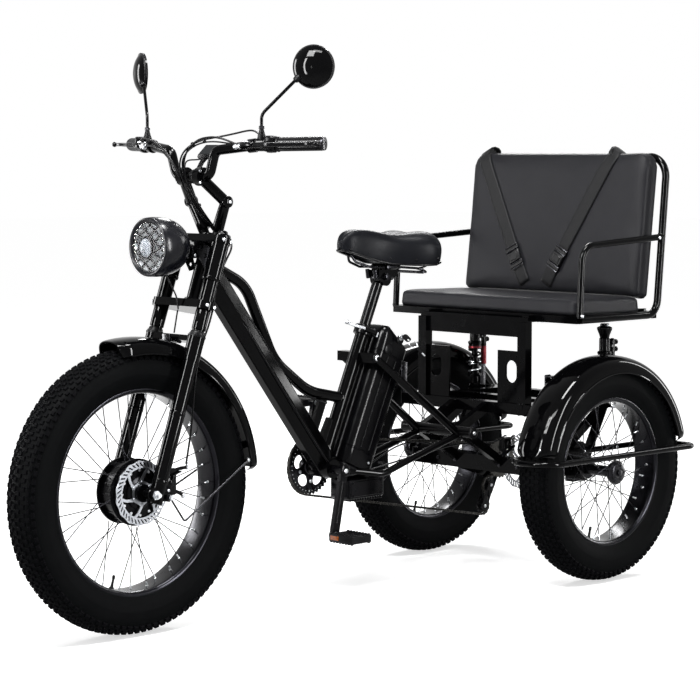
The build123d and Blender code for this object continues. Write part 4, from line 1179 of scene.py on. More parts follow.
bm, caps, screws = blanks(3)
for sign in (1, -1):
    x = sign * 80
    ring_on_leg(bm, x, -34, 398, (0, 22.2), (4, 22.6), (5, 20.6), (8, 20.2), (9, 18.6), (14, 17.6),
                (15.5, 16.2))
    ring_on_leg(caps, x, -34, 416, (0, 15.6), (1, 17.6), (50, 18.2), (51.5, 17.6), (51.5, 15.6))
    ring_on_leg(caps, x, -34, 654, (0, 21.5), (5, 21.5), (7, 20), (7.5, 13), (13, 12),
                (15.5, 10.5), (15.5, 7), (14, 6.5))
    ring_on_leg(caps, x, -34, 541, (0, 19.6), (2, 22.4), (5, 23.4), (9, 23.4), (10, 22.8))
    for up in (478, 645):
        for behind in (-21.9, -46.1):
            screw(screws, on_fork(sign * 101.5, behind, up), X * sign, 4.4, 4)
    for z in (30, 200):
        ring_on_leg(caps, x, -34, z, (0, 19), (1.5, 19.8), (9, 19.8), (10.5, 19))
    turn(caps, at(x, 0, FRONT_R), X * sign, [(8, 18), (10.2, 17), (10.2, 13), (9, 12)], 32)
turn(caps, on_fork(0, 0, 666), STEER_UP, [(-1, 22), (2, 22), (4, 20), (4, 9), (2.5, 8)], 32)
screw(screws, on_fork(0, 0, 668), STEER_UP, 6, 5)
for z in (494, 632):
    ring_on_leg(caps, 0, 0, z, (-4, 27.6), (-3, 28.6), (3, 28.6), (4, 27.6))
piece("fork_wipers", bm, grip_rubber, "steering")
piece("fork_caps_and_covers", caps, fork_enamel, "steering")
piece("fork_screws", screws, bright_steel, "steering")
print("fork trimmed")

# %% [markdown]
# The lamp is a deep ABS shell with a rolled bezel, a bright bowl and a clear cover. Moulded in
# the bowl are a diamond lattice that spreads the light and, off centre, a round projector
# lens. The bowl's pale mottled colour and the projector's grey mottling are painted
# reflections. **Polycarbonate** is glass clear, index 1.58.

# %% Lamp shell and bracket
lens_clear = finish(
    "clear_polycarbonate", "#ffffff", "#fafcff", 0.03, 9.0, 0.002, spread=0.01, index=1.58,
    Transmission_Weight=1.0, Alpha=0.12)
# The bowl is almost matt: its pale and grey mottled colour is a painted reflection of its bright
# metal.
bowl_painted_reflection = finish(
    "reflector_bowl_painted_reflection", "#858b92", "#fafcff", 0.35, 3.0, 0.3, patch_mm=9, metallic=0.05,
    gloss=0.02)
# The projector's grey and pale mottled colour is a painted reflection in its glass.
projector_painted_reflection = finish(
    "projector_glass_painted_reflection", "#4d5258", "#a9afb6", 0.12, 3.0, 0.2, patch_mm=11, index=1.52,
    gloss=0.1)
LAMP = at(0, 58, 942)
bm = bmesh.new()
turn(bm, LAMP, Y, [
    (3.2, 60), (-0.2, 64.6), (-1.4, 66.5), (-1.2, 69.5), (0.6, 71.6), (3.2, 72.2), (4.6, 71.6),
    (5.6, 71.8), (9, 72.8), (20, 73.2), (34, 72.8), (48, 71.2), (62, 68.0), (74, 63.2), (85, 56.8),
    (95, 48.6), (104, 38.6), (110, 30.5), (115, 24), (118, 20.5), (118, 6), (112, 5), (96, 30),
    (60, 54), (20, 62),
], 96, loop=True)
piece("lamp_shell", bm, lamp_abs, "steering", ["headlight"])
bm = bmesh.new()
mill(bm, at(0, 178.5, 928), (60, 5, 31), 1.5)


def side_plate(x, thick, corners, *holes):
    """A plate square to x: corners as (station, height), holes with their radius as well."""
    press(bm, [corners] + [circle(r, 24, u, v) for u, v, r in holes], thick, at(x, 0, 0))


for sign in (-1, 1):
    side_plate(sign * 27.5, 4.5, [(174, 912), (232, 914), (236, 936), (222, 944), (174, 943)],
               (196, 929, 7), (216, 930, 5))
    side_plate(sign * 30.8, 3.5, [(180, 956), (210, 956), (223, 927), (233, 894), (228, 880),
                                  (217, 878), (206, 898), (182, 934)],
               (201, 940, 7), (213, 918, 6.5), (221, 894, 4.5))
mill(bm, at(0, 224, 890), (58, 4, 18), 1.2)
piece("lamp_bracket", bm, black_steel, "steering")
bm = bmesh.new()
for sign in (-1, 1):
    screw(bm, at(sign * 20, 181, 928), Y, 4.5, 4, "hex")
    screw(bm, at(sign * 30, 184, 920), X * sign, 4.2, 3.4, "dome")
turn(bm, LAMP + Y * 0.116 - Z * 0.024, Vector((0, 0.35, -1)),
     [(0, 6), (7, 5.5), (13, 3.4), (14, 3)], 14)
piece("lamp_bolts", bm, bright_steel, "steering")
print("lamp turned")

# %% Lamp bowl, lattice and lens
bm = bmesh.new()
turn(bm, LAMP, Y, [(5.5, 62.5), (8, 61.5), (15, 56), (24, 46), (31, 34), (35, 20), (36, 4), (37, 4),
                   (38, 20), (34, 36), (26, 49), (16, 60), (8, 63)], 72, loop=True)
piece("lamp_bowl", bm, bowl_painted_reflection, "steering")
bm, lattice = blanks(2)
turn(bm, LAMP, Y, [(2.4, 62.8), (1.2, 61.5), (0.4, 52), (-0.6, 32), (-1.0, 10), (-1.0, 0.02),
                   (1.8, 0.02),
                   (2.2, 30), (3.6, 52), (5.2, 61.5), (5.2, 62.8)], 72, loop=True)
piece("lamp_lens", bm, lens_clear, "steering", ["headlight_lens"])
PROJECTOR = LAMP + (-X * 17 - Z * 2) * MM
LATTICE_SLOPE, LATTICE_STEP, LATTICE_REACH, PROJECTOR_CLEAR = radians(36), 22.0, 61.0, 0.0275
for way in (1, -1):
    along = X * cos(LATTICE_SLOPE) * way + Z * sin(LATTICE_SLOPE)
    square = X * sin(LATTICE_SLOPE) - Z * cos(LATTICE_SLOPE) * way
    for offset in (k * LATTICE_STEP for k in range(-2, 3)):
        reach = sqrt(LATTICE_REACH ** 2 - offset ** 2)
        runs = [[]]
        for s in np.linspace(-reach, reach, 25):
            spot = LAMP + (along * s + square * offset) * MM
            if (spot - PROJECTOR).length > PROJECTOR_CLEAR:
                runs[-1].append(spot + Y * 0.0088)
            else:
                runs.append([])
        for run in runs:
            if len(run) > 2:
                draw(lattice, run, oblong(3.4, 5.0, 0.6, 1), side=Y)
turn(lattice, PROJECTOR + Y * 0.006, Y,
     [(0, 28.2), (-0.8, 27.4), (-0.8, 25.2), (6, 24.4), (12, 26), (8, 28.2)],
     56, loop=True)
turn(lattice, LAMP + Y * 0.005, Y, [(0, 63.2), (-1.6, 62.6), (-1.6, 59.8), (4, 59.2), (8, 62)], 72,
     loop=True)
piece("lamp_lattice", lattice, nylon, "steering")
bm = bmesh.new()
turn(bm, PROJECTOR + Y * 0.012, -Y,
     [(0, 24.6), (1.5, 24.4), (5.5, 21), (8, 15), (9.3, 8), (9.6, 0.02)], 48)
piece("lamp_projector", bm, projector_painted_reflection, "steering")
print("lattice cut round the projector")

# %% [markdown]
# ## Handlebar
# The grips are rubber sleeves with lengthwise ribs, a flange at the inner end and an end
# plug. The section of a grip is a circle whose radius steps in and out, drawn along the bar.

# %% Grips
BAR_ROOT, BAR_BEND, BAR_TIP = at(84, 204, 1176), at(216, 237, 1190), at(361, 305, 1192)
BAR_IN = (BAR_BEND - BAR_TIP).normalized()


def on_bar(back_from_tip):
    return BAR_TIP + BAR_IN * (back_from_tip * MM)


RIBS = 13
bm, plugs = blanks(2)
section = polar((17.0 if i % 6 < 4 else 15.4, t) for i, t in enumerate(around(RIBS * 6)))
draw(bm, [on_bar(b) for b in (2, 3, 112, 113)], section, scale=[0.93, 1, 1, 0.9])
turn(bm, on_bar(118.5), -BAR_IN, [(0, 17.5), (1, 18.6), (4, 18.6), (5.5, 17), (7, 15)], 40)
turn(plugs, on_bar(3), -BAR_IN, [(0, 16.4), (4, 16.8), (6.5, 15.8), (7.8, 12), (7.8, 5), (6.4, 4)],
     36)
piece("ribbed_grips", mirrored(bm), grip_rubber, "steering", ["grips"])
piece("grip_end_plugs", mirrored(plugs), black_steel, "steering")
print("grips have", RIBS, "ribs")

# %% [markdown]
# Beside each grip sit a switch pod and the brake lever: a clamp round the bar, a body that
# holds the pivot, a long blade that ends in a ball, and the adjuster where the cable starts.
# The blade tapers, so its section is scaled along its path.

# %% Brake levers and switch pods
bm, pods, silver = blanks(3)
bar_way = (BAR_BEND - BAR_ROOT).normalized()
ahead = Vector((bar_way.y, -bar_way.x, 0)).normalized()
clamp_at = BAR_BEND - bar_way * 0.026
pivot = clamp_at + ahead * 0.034
turn(bm, clamp_at - bar_way * 0.010, bar_way, [(0, 15), (1, 17), (19, 17), (20, 15)], 36)
mill(bm, clamp_at + ahead * 0.024, (22, 30, 17), 5, (bar_way, ahead, Z))
mill(bm, clamp_at + ahead * 0.036 + bar_way * 0.008, (34, 16, 12), 4, (bar_way, ahead, Z))
reach = Vector((0.4245, -0.905, 0))
blade = bend([
    pivot, on_bar(128) + reach * 0.044, on_bar(30) + reach * 0.036,
    on_bar(2) + reach * 0.046,
], 50)
draw(bm, blade, oblong(10.5, 6.5, 2.6, 3), side=Z, scale=list(np.linspace(1.15, 0.82, len(blade))))
ball = on_bar(2) + reach * 0.048
turn(bm, ball - reach * 0.006, reach, [(0, 3), (2, 5.6), (6, 7), (10, 5.6), (12, 2.5)], 20)
adjuster = pivot - bar_way * 0.012
turn(silver, adjuster, -bar_way,
     [(0, 6.4), (5, 6.4), (6, 5), (12, 4.6), (13, 6), (19, 5.6), (20, 3.4)], 20)
screw(silver, pivot + Z * 0.0086, Z, 5, 3.6)
screw(silver, clamp_at + ahead * 0.018 + Z * 0.0086, Z, 3.6, 2.6)
turn(pods, on_bar(146), -BAR_IN, [(0, 17), (2, 20), (11, 20.6), (22, 20), (24, 18)], 36)
mill(pods, on_bar(133) + Vector((0.006, -0.012, 0.012)), (22, 26, 18), 5, (BAR_IN, reach, Z))
mill(pods, on_bar(132) + Vector((-0.004, 0.012, 0.017)), (10, 12, 6), 2, (BAR_IN, reach, Z))
turn(pods, on_bar(151), -BAR_IN, [(0, 15), (1, 17.4), (4, 17.4), (5, 16)], 32)
piece("brake_levers", mirrored(bm), damper_coat, "steering", ["hand_controls"])
piece("switch_pods", mirrored(pods), nylon, "steering")
piece("lever_adjusters", mirrored(silver), bright_steel, "steering")
print("levers and pods made")

# %% [markdown]
# The two bowed risers clamp the bar with four screws each and have a round boss where they
# bend. A tilted speed display stands on the bar between them.

# %% Riser screws and display
screen_glass = finish(
    "dark_screen_glass", "#0a0d10", "#0c1013", 0.06, 9.0, 0.001, spread=0.02, index=1.52,
    gloss=0.08)
bm, black = blanks(2)
for sign in (1, -1):
    out = X * sign
    for back, up in ((-14, 14), (14, 14), (-14, -14), (14, -14)):
        screw(bm, at(sign * 42, 204 + back, 1112 + up), out, 3.6, 3.4)
    knee, foot = at(sign * 64, 254, 1050), at(sign * 24, 262, 980)
    screw(bm, knee + out * 0.0155, out, 4.2, 3)
    turn(black, knee - out * 0.010, out, [(0, 12), (2, 14.5), (22, 14.5), (25.5, 10), (26, 4)], 32)
    for station in (250, 274):
        screw(bm, at(sign * 36.2, station, 957), out, 3.8, 3.4)
    turn(black, foot, knee - foot, [(0, 13.6), (3, 15.0), (24, 14.4), (60, 13.6), (68, 13.2)], 28)
piece("riser_bosses", black, fork_enamel, "steering")
piece("riser_screws", bm, bright_steel, "steering")
SCREEN_LEAN = radians(42)
screen_up, screen_in = leaning(-SCREEN_LEAN)
screen_at, screen_axes = at(32, 234, 1172), (X, screen_in, screen_up)
bm, glass = blanks(2)
mill(bm, screen_at, (62, 46, 16), 5, screen_axes)
mill(glass, screen_at + screen_up * 0.0072, (52, 34, 3), 1, screen_axes)
mill(bm, screen_at - screen_in * 0.018 + screen_up * 0.0065, (30, 4, 5), 1.5, screen_axes)
draw(bm, bend([at(12, 206, 1122), at(16, 220, 1148), at(28, 232, 1167)], 12), oblong(12, 8, 2.5, 3),
     side=X)
turn(bm, at(5, 204, 1112), X, [(0, 16), (1, 18), (13, 18), (14, 16)], 32)
piece("speed_display", bm, nylon, "steering", ["display"])
piece("display_glass", glass, screen_glass, "steering")
print("display leans", round(degrees(SCREEN_LEAN)), "degrees")

# %% [markdown]
# A round mirror is silvered glass in a moulded cup, and reflects about 95 percent with no
# colour. Its stalk stands on a nut in a rubber boot.

# %% Mirrors
silvered_glass = finish(
    "silvered_glass", "#f0f2f3", "#f0f2f3", 0.02, 20.0, 0.0005, metallic=1.0, spread=0.0)
MIRROR_TURN = radians(26)
bm, boots, nuts = blanks(3)
mirror_back = X * sin(MIRROR_TURN) - Y * cos(MIRROR_TURN)
mirror_out = X * cos(MIRROR_TURN) + Y * sin(MIRROR_TURN)
mirror_at = at(322, 312, 1375)
turn(bm, mirror_at - mirror_back * 0.0002, mirror_back, [(0, 47.6), (1.2, 47.6), (1.2, 0.02)], 64)
piece("mirror_silvered_glass", mirrored(bm), silvered_glass, "steering",
      ["mirror_glasses"])
stalk_foot = at(216, 237, 1200)
turn(boots, stalk_foot, Z,
     [(-6, 12), (0, 12), (3, 10.5), (5, 11), (9, 9.5), (11, 10), (16, 8), (20, 7), (30, 5)], 24)
screw(nuts, stalk_foot + Z * 0.028, Z, 7, 7, "hex")
elbow = mirror_at - mirror_out * 0.040 - Z * 0.027 + mirror_back * 0.012
turn(boots, elbow - mirror_out * 0.006 - Z * 0.006, mirror_out + Z * 0.7,
     [(0, 6), (3, 8), (12, 9), (18, 7)], 20)
turn(boots, mirror_at + mirror_back * 0.004, mirror_back,
     [(0, 52.4), (1.5, 52.8), (4, 52.8), (5, 52.2)], 64)
piece("mirror_boots", mirrored(boots), grip_rubber, "steering")
piece("mirror_nuts", mirrored(nuts), black_steel, "steering")
print("mirrors turned out", round(degrees(MIRROR_TURN)), "degrees")

# %% [markdown]
# Brake, throttle and switch cables run along the bar and come together at ties in front of
# the risers. They are held along their whole way, so each is a smooth curve.

# %% Cables along the handlebar
def held_cable(name, places, radius, body="steering"):
    """A smooth round cable through its places, in millimetres."""
    curve = bpy.data.curves.new(name, "CURVE")
    curve.dimensions, curve.bevel_depth = "3D", radius * MM
    curve.bevel_resolution, curve.resolution_u = 3, 10
    curve.use_fill_caps = True
    spline = curve.splines.new("NURBS")
    spline.points.add(len(places) - 1)
    for point, place in zip(spline.points, places):
        point.co = (*at(*place), 1)
    spline.order_u, spline.use_endpoint_u = 4, True
    curve.materials.append(cable_pvc)
    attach(placed(name, curve), body)


held_cable("left_switch_cable", [
    (222, 236, 1206), (206, 230, 1222), (188, 228, 1226), (150, 224, 1219), (105, 214, 1211),
    (80, 204, 1207), (58, 192, 1203), (30, 179, 1193), (8, 170, 1177), (-4, 166, 1156),
    (-8, 167, 1132), (-12, 180, 1105), (-16, 214, 1062), (-8, 250, 1010), (-6, 274, 982)], 2.3)
held_cable("left_throttle_cable", [
    (250, 240, 1178), (224, 206, 1182), (190, 206, 1186), (165, 212, 1189), (115, 213, 1194),
    (84, 205, 1198), (56, 193, 1197), (30, 180, 1187), (10, 174, 1171), (0, 168, 1152),
    (-2, 172, 1128), (-4, 196, 1080), (2, 240, 1016), (2, 268, 988)], 2.1)
held_cable("right_brake_cable", [
    (-176, 202, 1188), (-134, 182, 1190), (-90, 174, 1180), (-56, 174, 1158), (-34, 176, 1132),
    (-24, 186, 1100), (-22, 216, 1050), (-12, 258, 1000), (-10, 282, 974)], 2.4)
held_cable("right_gear_cable", [
    (-226, 232, 1206), (-186, 208, 1206), (-130, 184, 1202), (-76, 172, 1182), (-40, 172, 1150),
    (-18, 188, 1092), (-14, 238, 1026), (-4, 280, 980)], 2.2)
held_cable("display_lead", [
    (32, 238, 1160), (30, 202, 1153), (14, 186, 1154), (2, 174, 1150), (0, 178, 1110),
    (0, 214, 1050), (4, 250, 1006), (4, 272, 984)], 1.9)
bm = bmesh.new()
for place, axis, radius in (((30, 179.5, 1190), (0.8, 0.3, 0.5), 7),
                            ((-8, 226, 1040), (0, 0.45, -0.9), 8.5),
                            ((57, 192.5, 1200), (0.9, 0.4, 0.2), 6.5)):
    turn(bm, at(*place), Vector(axis),
         [(-2.5, radius - 1), (-2, radius), (2, radius), (2.5, radius - 1)], 20)
piece("cable_ties", bm, nylon, "steering")
print("five held cables")

# %% [markdown]
# ## Frame details
# The tubes are welded, and a weld leaves a row of small overlapping ripples. Each bead is a
# ring round the tube, cast along it onto the CAD surface, so that it follows the real seam.

# %% Weld beads
depsgraph = bpy.context.evaluated_depsgraph_get()


BEAD_THICK, BEAD_STEPS = 2.4, 64


def seam(bm, start, end, radius, into):
    """A rippled bead where a tube that runs from start to end meets the CAD node into."""
    target = BVHTree.FromObject(cad[into], depsgraph)
    place = cad[into].matrix_world
    to_local = place.inverted()
    axis = (end - start).normalized()
    u = square_to(axis)
    v = axis.cross(u)
    path = []
    for a in around(BEAD_STEPS):
        edge = (u * cos(a) + v * sin(a)) * (radius * MM)
        found = target.ray_cast(to_local @ (start + edge), to_local.to_3x3() @ axis)[0]
        if found is None:
            return False
        path.append(place @ found)
    ripples = [1 + 0.16 * sin(12 * a) for a in around(BEAD_STEPS)]
    draw(bm, path, circle(BEAD_THICK, 8), loop=True, scale=ripples)
    return True


joints = [
    (at(0, 590, 552), at(0, 700, 528), 14.5, "seat_tube"),
    (at(0, 374, 838), at(0, 262, 892), 14.5, "down_tube"),
    (on_seat(0, 0, 120), on_seat(0, 0, -20), 17.5, "down_tube"),
]
for x in (-188, 188):
    joints.append((at(x, 1226, 560), at(x, 1226, 440), 15, "rear_deck"))
for x, y, z, y_end, z_end, radius, into in (
    (347, 1278, 840, 1270, 700, 9, "bench_frame"), (347, 1540, 934, 1660, 940, 9, "bench_frame"),
    (84, 1110, 400, 1050, 430, 11, "rear_stays"),
):
    joints += [(at(s * x, y, z), at(s * x, y_end, z_end), radius, into) for s in (1, -1)]
bm = bmesh.new()
beads = sum(seam(bm, *joint) for joint in joints)
piece("weld_beads", bm, powder_coat, "frame")
print(beads, "seams of", len(joints), "found their tube")

# %% [markdown]
# The battery is a tall ABS case with seams and side ribs that slides down a rail on the seat
# tube. It has a charging port with a cap and a lock with its key left in, with a spare on its
# ring. Below sits the die cast controller box.

# %% Battery
def on_battery(x, back, up):
    """A place in the battery's own frame, whose origin is the middle of the case."""
    return on_seat(x, 89 + back, 218 + up)


rings = []
for up, inset, top_fall in (
    (-194, 6, 0), (-192, 2, 0), (-186, 0, 0), (-150, 0, 0), (-148.5, 1.6, 0), (-146, 1.6, 0),
    (-144.5, 0, 0), (60, 0, 0), (118, 0, 0), (119.5, 1.4, 0), (122, 1.4, 0), (123.5, 0, 0),
    (148, 0, 0), (162, 0.5, 8), (174, 1.5, 20), (183, 4, 31), (190, 8, 39), (193.5, 14, 42),
):
    outline = oblong(90 - 2 * inset, 112 - 2 * inset, 22 - inset * 0.7, 7)
    rings.append([on_battery(x, back, up - top_fall * max(0, back / 50)) for x, back in outline])
bm = bmesh.new()
loft(bm, rings)
piece("battery_shell", bm, battery_abs, "frame", ["battery_case"])
bm, lock, heads = blanks(3)
for sign in (1, -1):
    for back in (-16, 16):
        draw(bm, [on_battery(sign * 44.4, back, -138), on_battery(sign * 44.4, back, 112)],
             oblong(7, 2.6, 1.2, 3), side=X)
    screw(lock, on_battery(sign * 44.6, 30, -170), X * sign, 3.2, 1.6)
mill(bm, on_battery(0, -60, -6), (34, 10, 360), 2, SEAT_AXES)
mill(bm, on_battery(0, -2, -199), (84, 104, 11), 4, SEAT_AXES)
turn(bm, on_battery(43, -22, 132), X, [(0, 14), (3, 14), (4.2, 12.5), (4.6, 4), (4.6, 0.02)], 32)
turn(bm, on_battery(43, 10, 172), X, [(0, 12.5), (2.6, 12.5), (3.6, 11), (3.6, 6)], 32)
piece("battery_fittings", bm, nylon, "frame")
key_place = on_battery(45, 10, 178)
turn(lock, key_place, X, [(0, 8.6), (1.6, 8.6), (2.2, 7.6), (2.2, 0.02)], 28)
key_way = Vector((0.62, 0.34, -0.70)).normalized()
key_side = Vector((0.1, 0.93, 0.35)).normalized()
key_axes = (key_side, key_way, key_way.cross(key_side).normalized())
mill(lock, key_place + X * 0.007, (14, 7.5, 2.2), 0.6, SEAT_AXES)
press(heads, [oblong(18, 24, 7, 5), circle(3.2, 16, 0, 7)], 2.2, key_place + X * 0.021, key_axes)
ring_middle = key_place + X * 0.024 + key_way * 0.022
draw(lock, [ring_middle + (key_side * cos(t) + key_way * sin(t)) * 0.011 for t in around(24)],
     circle(0.9, 8), loop=True)
spare = key_place + X * 0.026 + key_way * 0.047
press(heads, [oblong(8, 16, 3, 4)], 2.0, spare, key_axes)
mill(lock, spare + key_way * 0.012, (4, 14, 1.8), 0.4, key_axes)
piece("battery_lock_and_key", lock, bright_steel, "frame")
piece("battery_key_heads", heads, nylon, "frame")
print("battery", len(rings), "rings")

# %% Controller box
bm, ribs = blanks(2)
mill(bm, at(0, 770.5, 285), (74, 129, 58), 5)
for i in range(13):
    mill(ribs, at(0, 714 + i * 9.4, 255), (70, 3, 5), 0.8)
for sign in (1, -1):
    mill(ribs, at(sign * 37.6, 770, 285), (3, 118, 40), 1)
    for station, up in ((718, 268), (718, 302), (822, 268), (822, 302)):
        screw(bm, at(sign * 38.2, station, up), X * sign, 3.6, 2.6)
mill(ribs, at(0, 706, 286), (62, 5, 46), 1.2)
for x in (-20, -4, 14):
    turn(ribs, at(x, 834, 292), Y, [(0, 7), (5, 7), (6, 5.5), (14, 4.6), (15, 3)], 18)
mill(ribs, at(0, 738, 319), (26, 40, 8), 2)
piece("controller_box", bm, hub_cast, "frame", ["controller_case"])
piece("controller_fins", ribs, hub_cast, "frame")
print("controller ribbed")

# %% [markdown]
# The seat clamp has a quick release, bolts hold the seat stay lug and the bench, and plastic
# caps close the tube ends.

# %% Bolts, caps and the seat clamp
bolts, plugs, clamp = blanks(3)
turn(clamp, on_seat(0, 0, 364), SEAT_UP,
     [(0, 23), (1.5, 24.5), (22, 24.5), (24, 23), (26, 18), (26, 16)])
for side in (-6, 6):
    mill(clamp, on_seat(side, 28, 377), (7, 16, 20), 1.5, SEAT_AXES)
rod(bolts, on_seat(-22, 31, 377), on_seat(24, 31, 377), 3.2)
turn(bolts, on_seat(11, 31, 377), X, [(0, 6.5), (6, 8), (13, 8), (15, 6.5)], 24)
lever = [on_seat(x, back, up) for x, back, up in
         ((22, 31, 377), (28, 20, 379), (29, -22, 376), (27, -60, 370), (25, -86, 368))]
draw(clamp, bend(lever[:3], 12), oblong(12, 5, 2, 3), side=SEAT_UP)
draw(bolts, lever[2:], oblong(8, 4, 1.8, 3), side=SEAT_UP)
turn(bolts, on_seat(25, -84, 368), -SEAT_BACK, [(0, 4), (3, 5.6), (8, 5.6), (11, 3.4)], 20)
for sign in (1, -1):
    out = X * sign
    screw(bolts, at(sign * 66.5, 776, 632), out, 7.5, 5)
    turn(plugs, at(sign * 66, 776, 632), out, [(0, 12), (1.2, 12), (1.8, 10.5)], 28)
    screw(bolts, at(sign * 131, 1085, 412), out, 6, 4, "hex")
    turn(plugs, at(sign * 130, 1085, 412), out, [(-4, 15.8), (1.4, 15.8), (2.4, 13.5), (2.4, 5)],
         32)
    for station in DECK_STATIONS:
        mill(plugs, at(sign * 268.6, station, 470), (3, 31, 31), 1.2)
    mill(plugs, at(sign * 250.6, 1262, 306), (3, 43, 43), 1.5)
    for station in (1290, 1420, 1560):
        for x in (181, 195):
            screw(bolts, at(sign * x, station, 710), -Z, 4, 3, "hex")
    for station, z in ((1269, 732), (1600, 935)):
        screw(bolts, at(sign * 356.5, station, z), out, 5, 3.5, "dome")
    for station in (1300, 1380, 1520):
        screw(bolts, at(sign * 275.9, station, 350), out, 4.6, 3.4, "dome")
piece("frame_bolts", bolts, bright_steel, "frame")
piece("tube_end_caps", plugs, nylon, "frame")
piece("seat_clamp_collar", clamp, damper_coat, "frame")
print("frame bolted")

# %% [markdown]
# The bench pan is a folded steel sheet with a lip that shows under the cushion. The back has
# a thin liner board behind its padding, held by screws.

# %% Bench pan lip and back board
bm, trims = blanks(2)
mill(bm, at(0, 1280, 732), (652, 4, 14))
for sign in (1, -1):
    mill(bm, at(sign * 327, 1428, 732), (4, 296, 14))
board = BACK_PLACE @ Matrix.Translation((0, 0.0252, 0))
frame_axes = tuple(BACK_FRAME @ axis for axis in (X, Y, Z))
mill(bm, board.to_translation(), (600, 5, 330), 1.5, frame_axes)
for x in (-280, -95, 95, 280):
    for z in (-145, 145):
        screw(trims, board @ (Vector((x, 2.4, z)) * MM), frame_axes[1], 4.5, 2.4, "dome")
piece("bench_pan_lip_and_back_board", bm, powder_coat, "frame")
piece("bench_trim_screws", trims, bright_steel, "frame")
print("bench trimmed")

# %% [markdown]
# Each rear damper is a spring round an oil damper, with a reservoir behind it. The collars
# and the reservoir's foot are anodised red, the upper half of the spring is enamelled black
# and the lower half is bare steel.

# %% Dampers
body, spring, red, bright = blanks(4)
for sign in (1, -1):
    foot = at(sign * 246, 1497, 486)

    def up(z, x=0.0, y=0.0):
        return foot + Vector((sign * x, y, z)) * MM

    turn(body, up(8), Z,
         [(0, 9), (2, 10), (20, 10), (22, 19), (27, 20.5), (30, 19), (31, 12), (60, 12),
                             (62, 9), (118, 9)], 36)
    turn(body, up(124), Z, [(0, 12), (0, 19), (4, 20.5), (8, 19), (10, 15), (44, 15), (46, 13)],
         36)
    turn(body, up(168), Z,
         [(0, 12), (4, 13.5), (10, 15), (26, 21.5), (31, 21.5), (33, 18), (36, 10)], 36)
    mill(body, up(205), (19, 19, 11), 2)
    draw(spring, helix(up(70), up(112), 17.0, 3.4, 20), circle(2.9, 8))
    draw(bright, helix(up(33), up(72), 17.0, 3.6, 20), circle(2.4, 8))
    turn(red, up(111), Z, [(0, 12.4), (0, 17), (1.5, 19.5), (7, 19.5), (8, 17), (8, 12.4)], 36)
    turn(body, up(119), Z, [(0, 12), (0, 18.5), (5, 18.5), (6, 12)], 36)
    turn(red, up(62, -2, 36), Z, [(0, 6), (2, 8.6), (54, 8.6), (55, 7)], 28)
    turn(body, up(117, -2, 36), Z, [(0, 8.2), (44, 8.2), (47, 7), (50, 4)], 28)
    mill(body, up(146, -1, 22), (12, 26, 12), 3)
    for z in (136, 156):
        turn(body, up(z, -2, 42), Y, [(0, 5), (4, 5), (5, 7.5), (11, 7.5), (13, 5)], 20)
    screw(bright, up(0, 14.2), X * sign, 5.5, 4, "hex")
    screw(bright, up(204, 9.5), X * sign, 4.6, 3.4, "hex")
    rod(bright, up(26), up(32), 8.2)
piece("damper_bodies", body, damper_coat, "frame", ["dampers"])
piece("damper_springs", spring, fork_enamel, "frame")
piece("damper_red_collars", red, red_paint, "frame")
piece("damper_bolts", bright, bright_steel, "frame")
print("two dampers")

# %% [markdown]
# A bearing block is a flanged casting with a grease nipple. A caliper is two cheeks bolted
# together over the disc, with a lever arm that the cable pulls and a thumb wheel.

# %% Axle block bolts and nipples
bm, dark = blanks(2)
for side, sign, axle in REAR_AXLES:
    out, flange = X * sign, at(sign * 260, REAR_STATION, REAR_R)
    turn(dark, flange, out, [(0, 27), (2.5, 27), (4, 25), (4.5, 14), (4.5, 11.2)], 40)
    for t in around(4, 0.5):
        screw(bm, flange + out * 0.0026 + round_x(t) * 0.021, out, 3.8, 3, "hex")
    turn(bm, at(sign * 246, 1380, 376), Z,
         [(0, 3.6), (3, 3.6), (3.6, 2.4), (7, 2), (8, 2.8), (10, 2)], 16)
    for station, z in ((1262, 306), (1350, 303), (1420, 325)):
        screw(bm, at(sign * 253, station, z), out, 5, 3.6, "hex")
    screw(bm, at(sign * 253, 1497, 476), out, 6.5, 5, "hex")
for x in (-150, -84, 84, 150):
    screw(bm, at(x, 1241, 306), -Y, 5, 3.6, "hex")
piece("carriage_bolts", bm, black_steel, "frame")
piece("bearing_flanges", dark, hub_cast, "frame")
print("carriage bolted")


# %% Brake calipers
def caliper(bm, bright, middle, size, slot_x, slot_wide, ahead, arm_out):
    """Two cheeks over the disc with a bridge, bolts, a cable arm and a thumb wheel."""
    wide, deep, high = size
    low_x, high_x = middle[0] - wide / 2, middle[0] + wide / 2

    def on_caliper(x, back=0.0, up=0.0):
        return at(x, middle[1] + ahead * back, middle[2] + up)

    for start, end in ((low_x, slot_x - slot_wide / 2), (slot_x + slot_wide / 2, high_x)):
        cheek = (end - start, deep, high)
        mill(bm, on_caliper((start + end) / 2), cheek, min(3, (end - start) / 3))
    mill(bm, on_caliper(slot_x, deep / 2 - 5), (slot_wide + 2, 9, high - 6), 1.5)
    for dz in (-0.3, 0.3):
        screw(bright, on_caliper(high_x - 0.5, -deep * 0.05, dz * high), X, 3.6, 3)
    turn(bm, on_caliper(high_x - 1, 3), X,
         [(0, 14), (3, 14), (4, 12.5), (4.6, 6), (8, 5), (9, 3)], 28)
    for t in around(12):
        mill(bm, on_caliper(high_x + 1, 3) + round_x(t) * 0.0135, (3.5, 2.6, 2.6), 0.5)
    arm = [on_caliper(high_x + 5, 3), on_caliper(high_x + 5, 8, 16),
           on_caliper(high_x - 2, arm_out, 24)]
    draw(bm, bend(arm, 8), oblong(9, 3.4, 1, 2), side=X)
    turn(bright, arm[-1], -Z, [(-3, 3), (-2, 4.2), (4, 4.2), (5, 3)], 18)


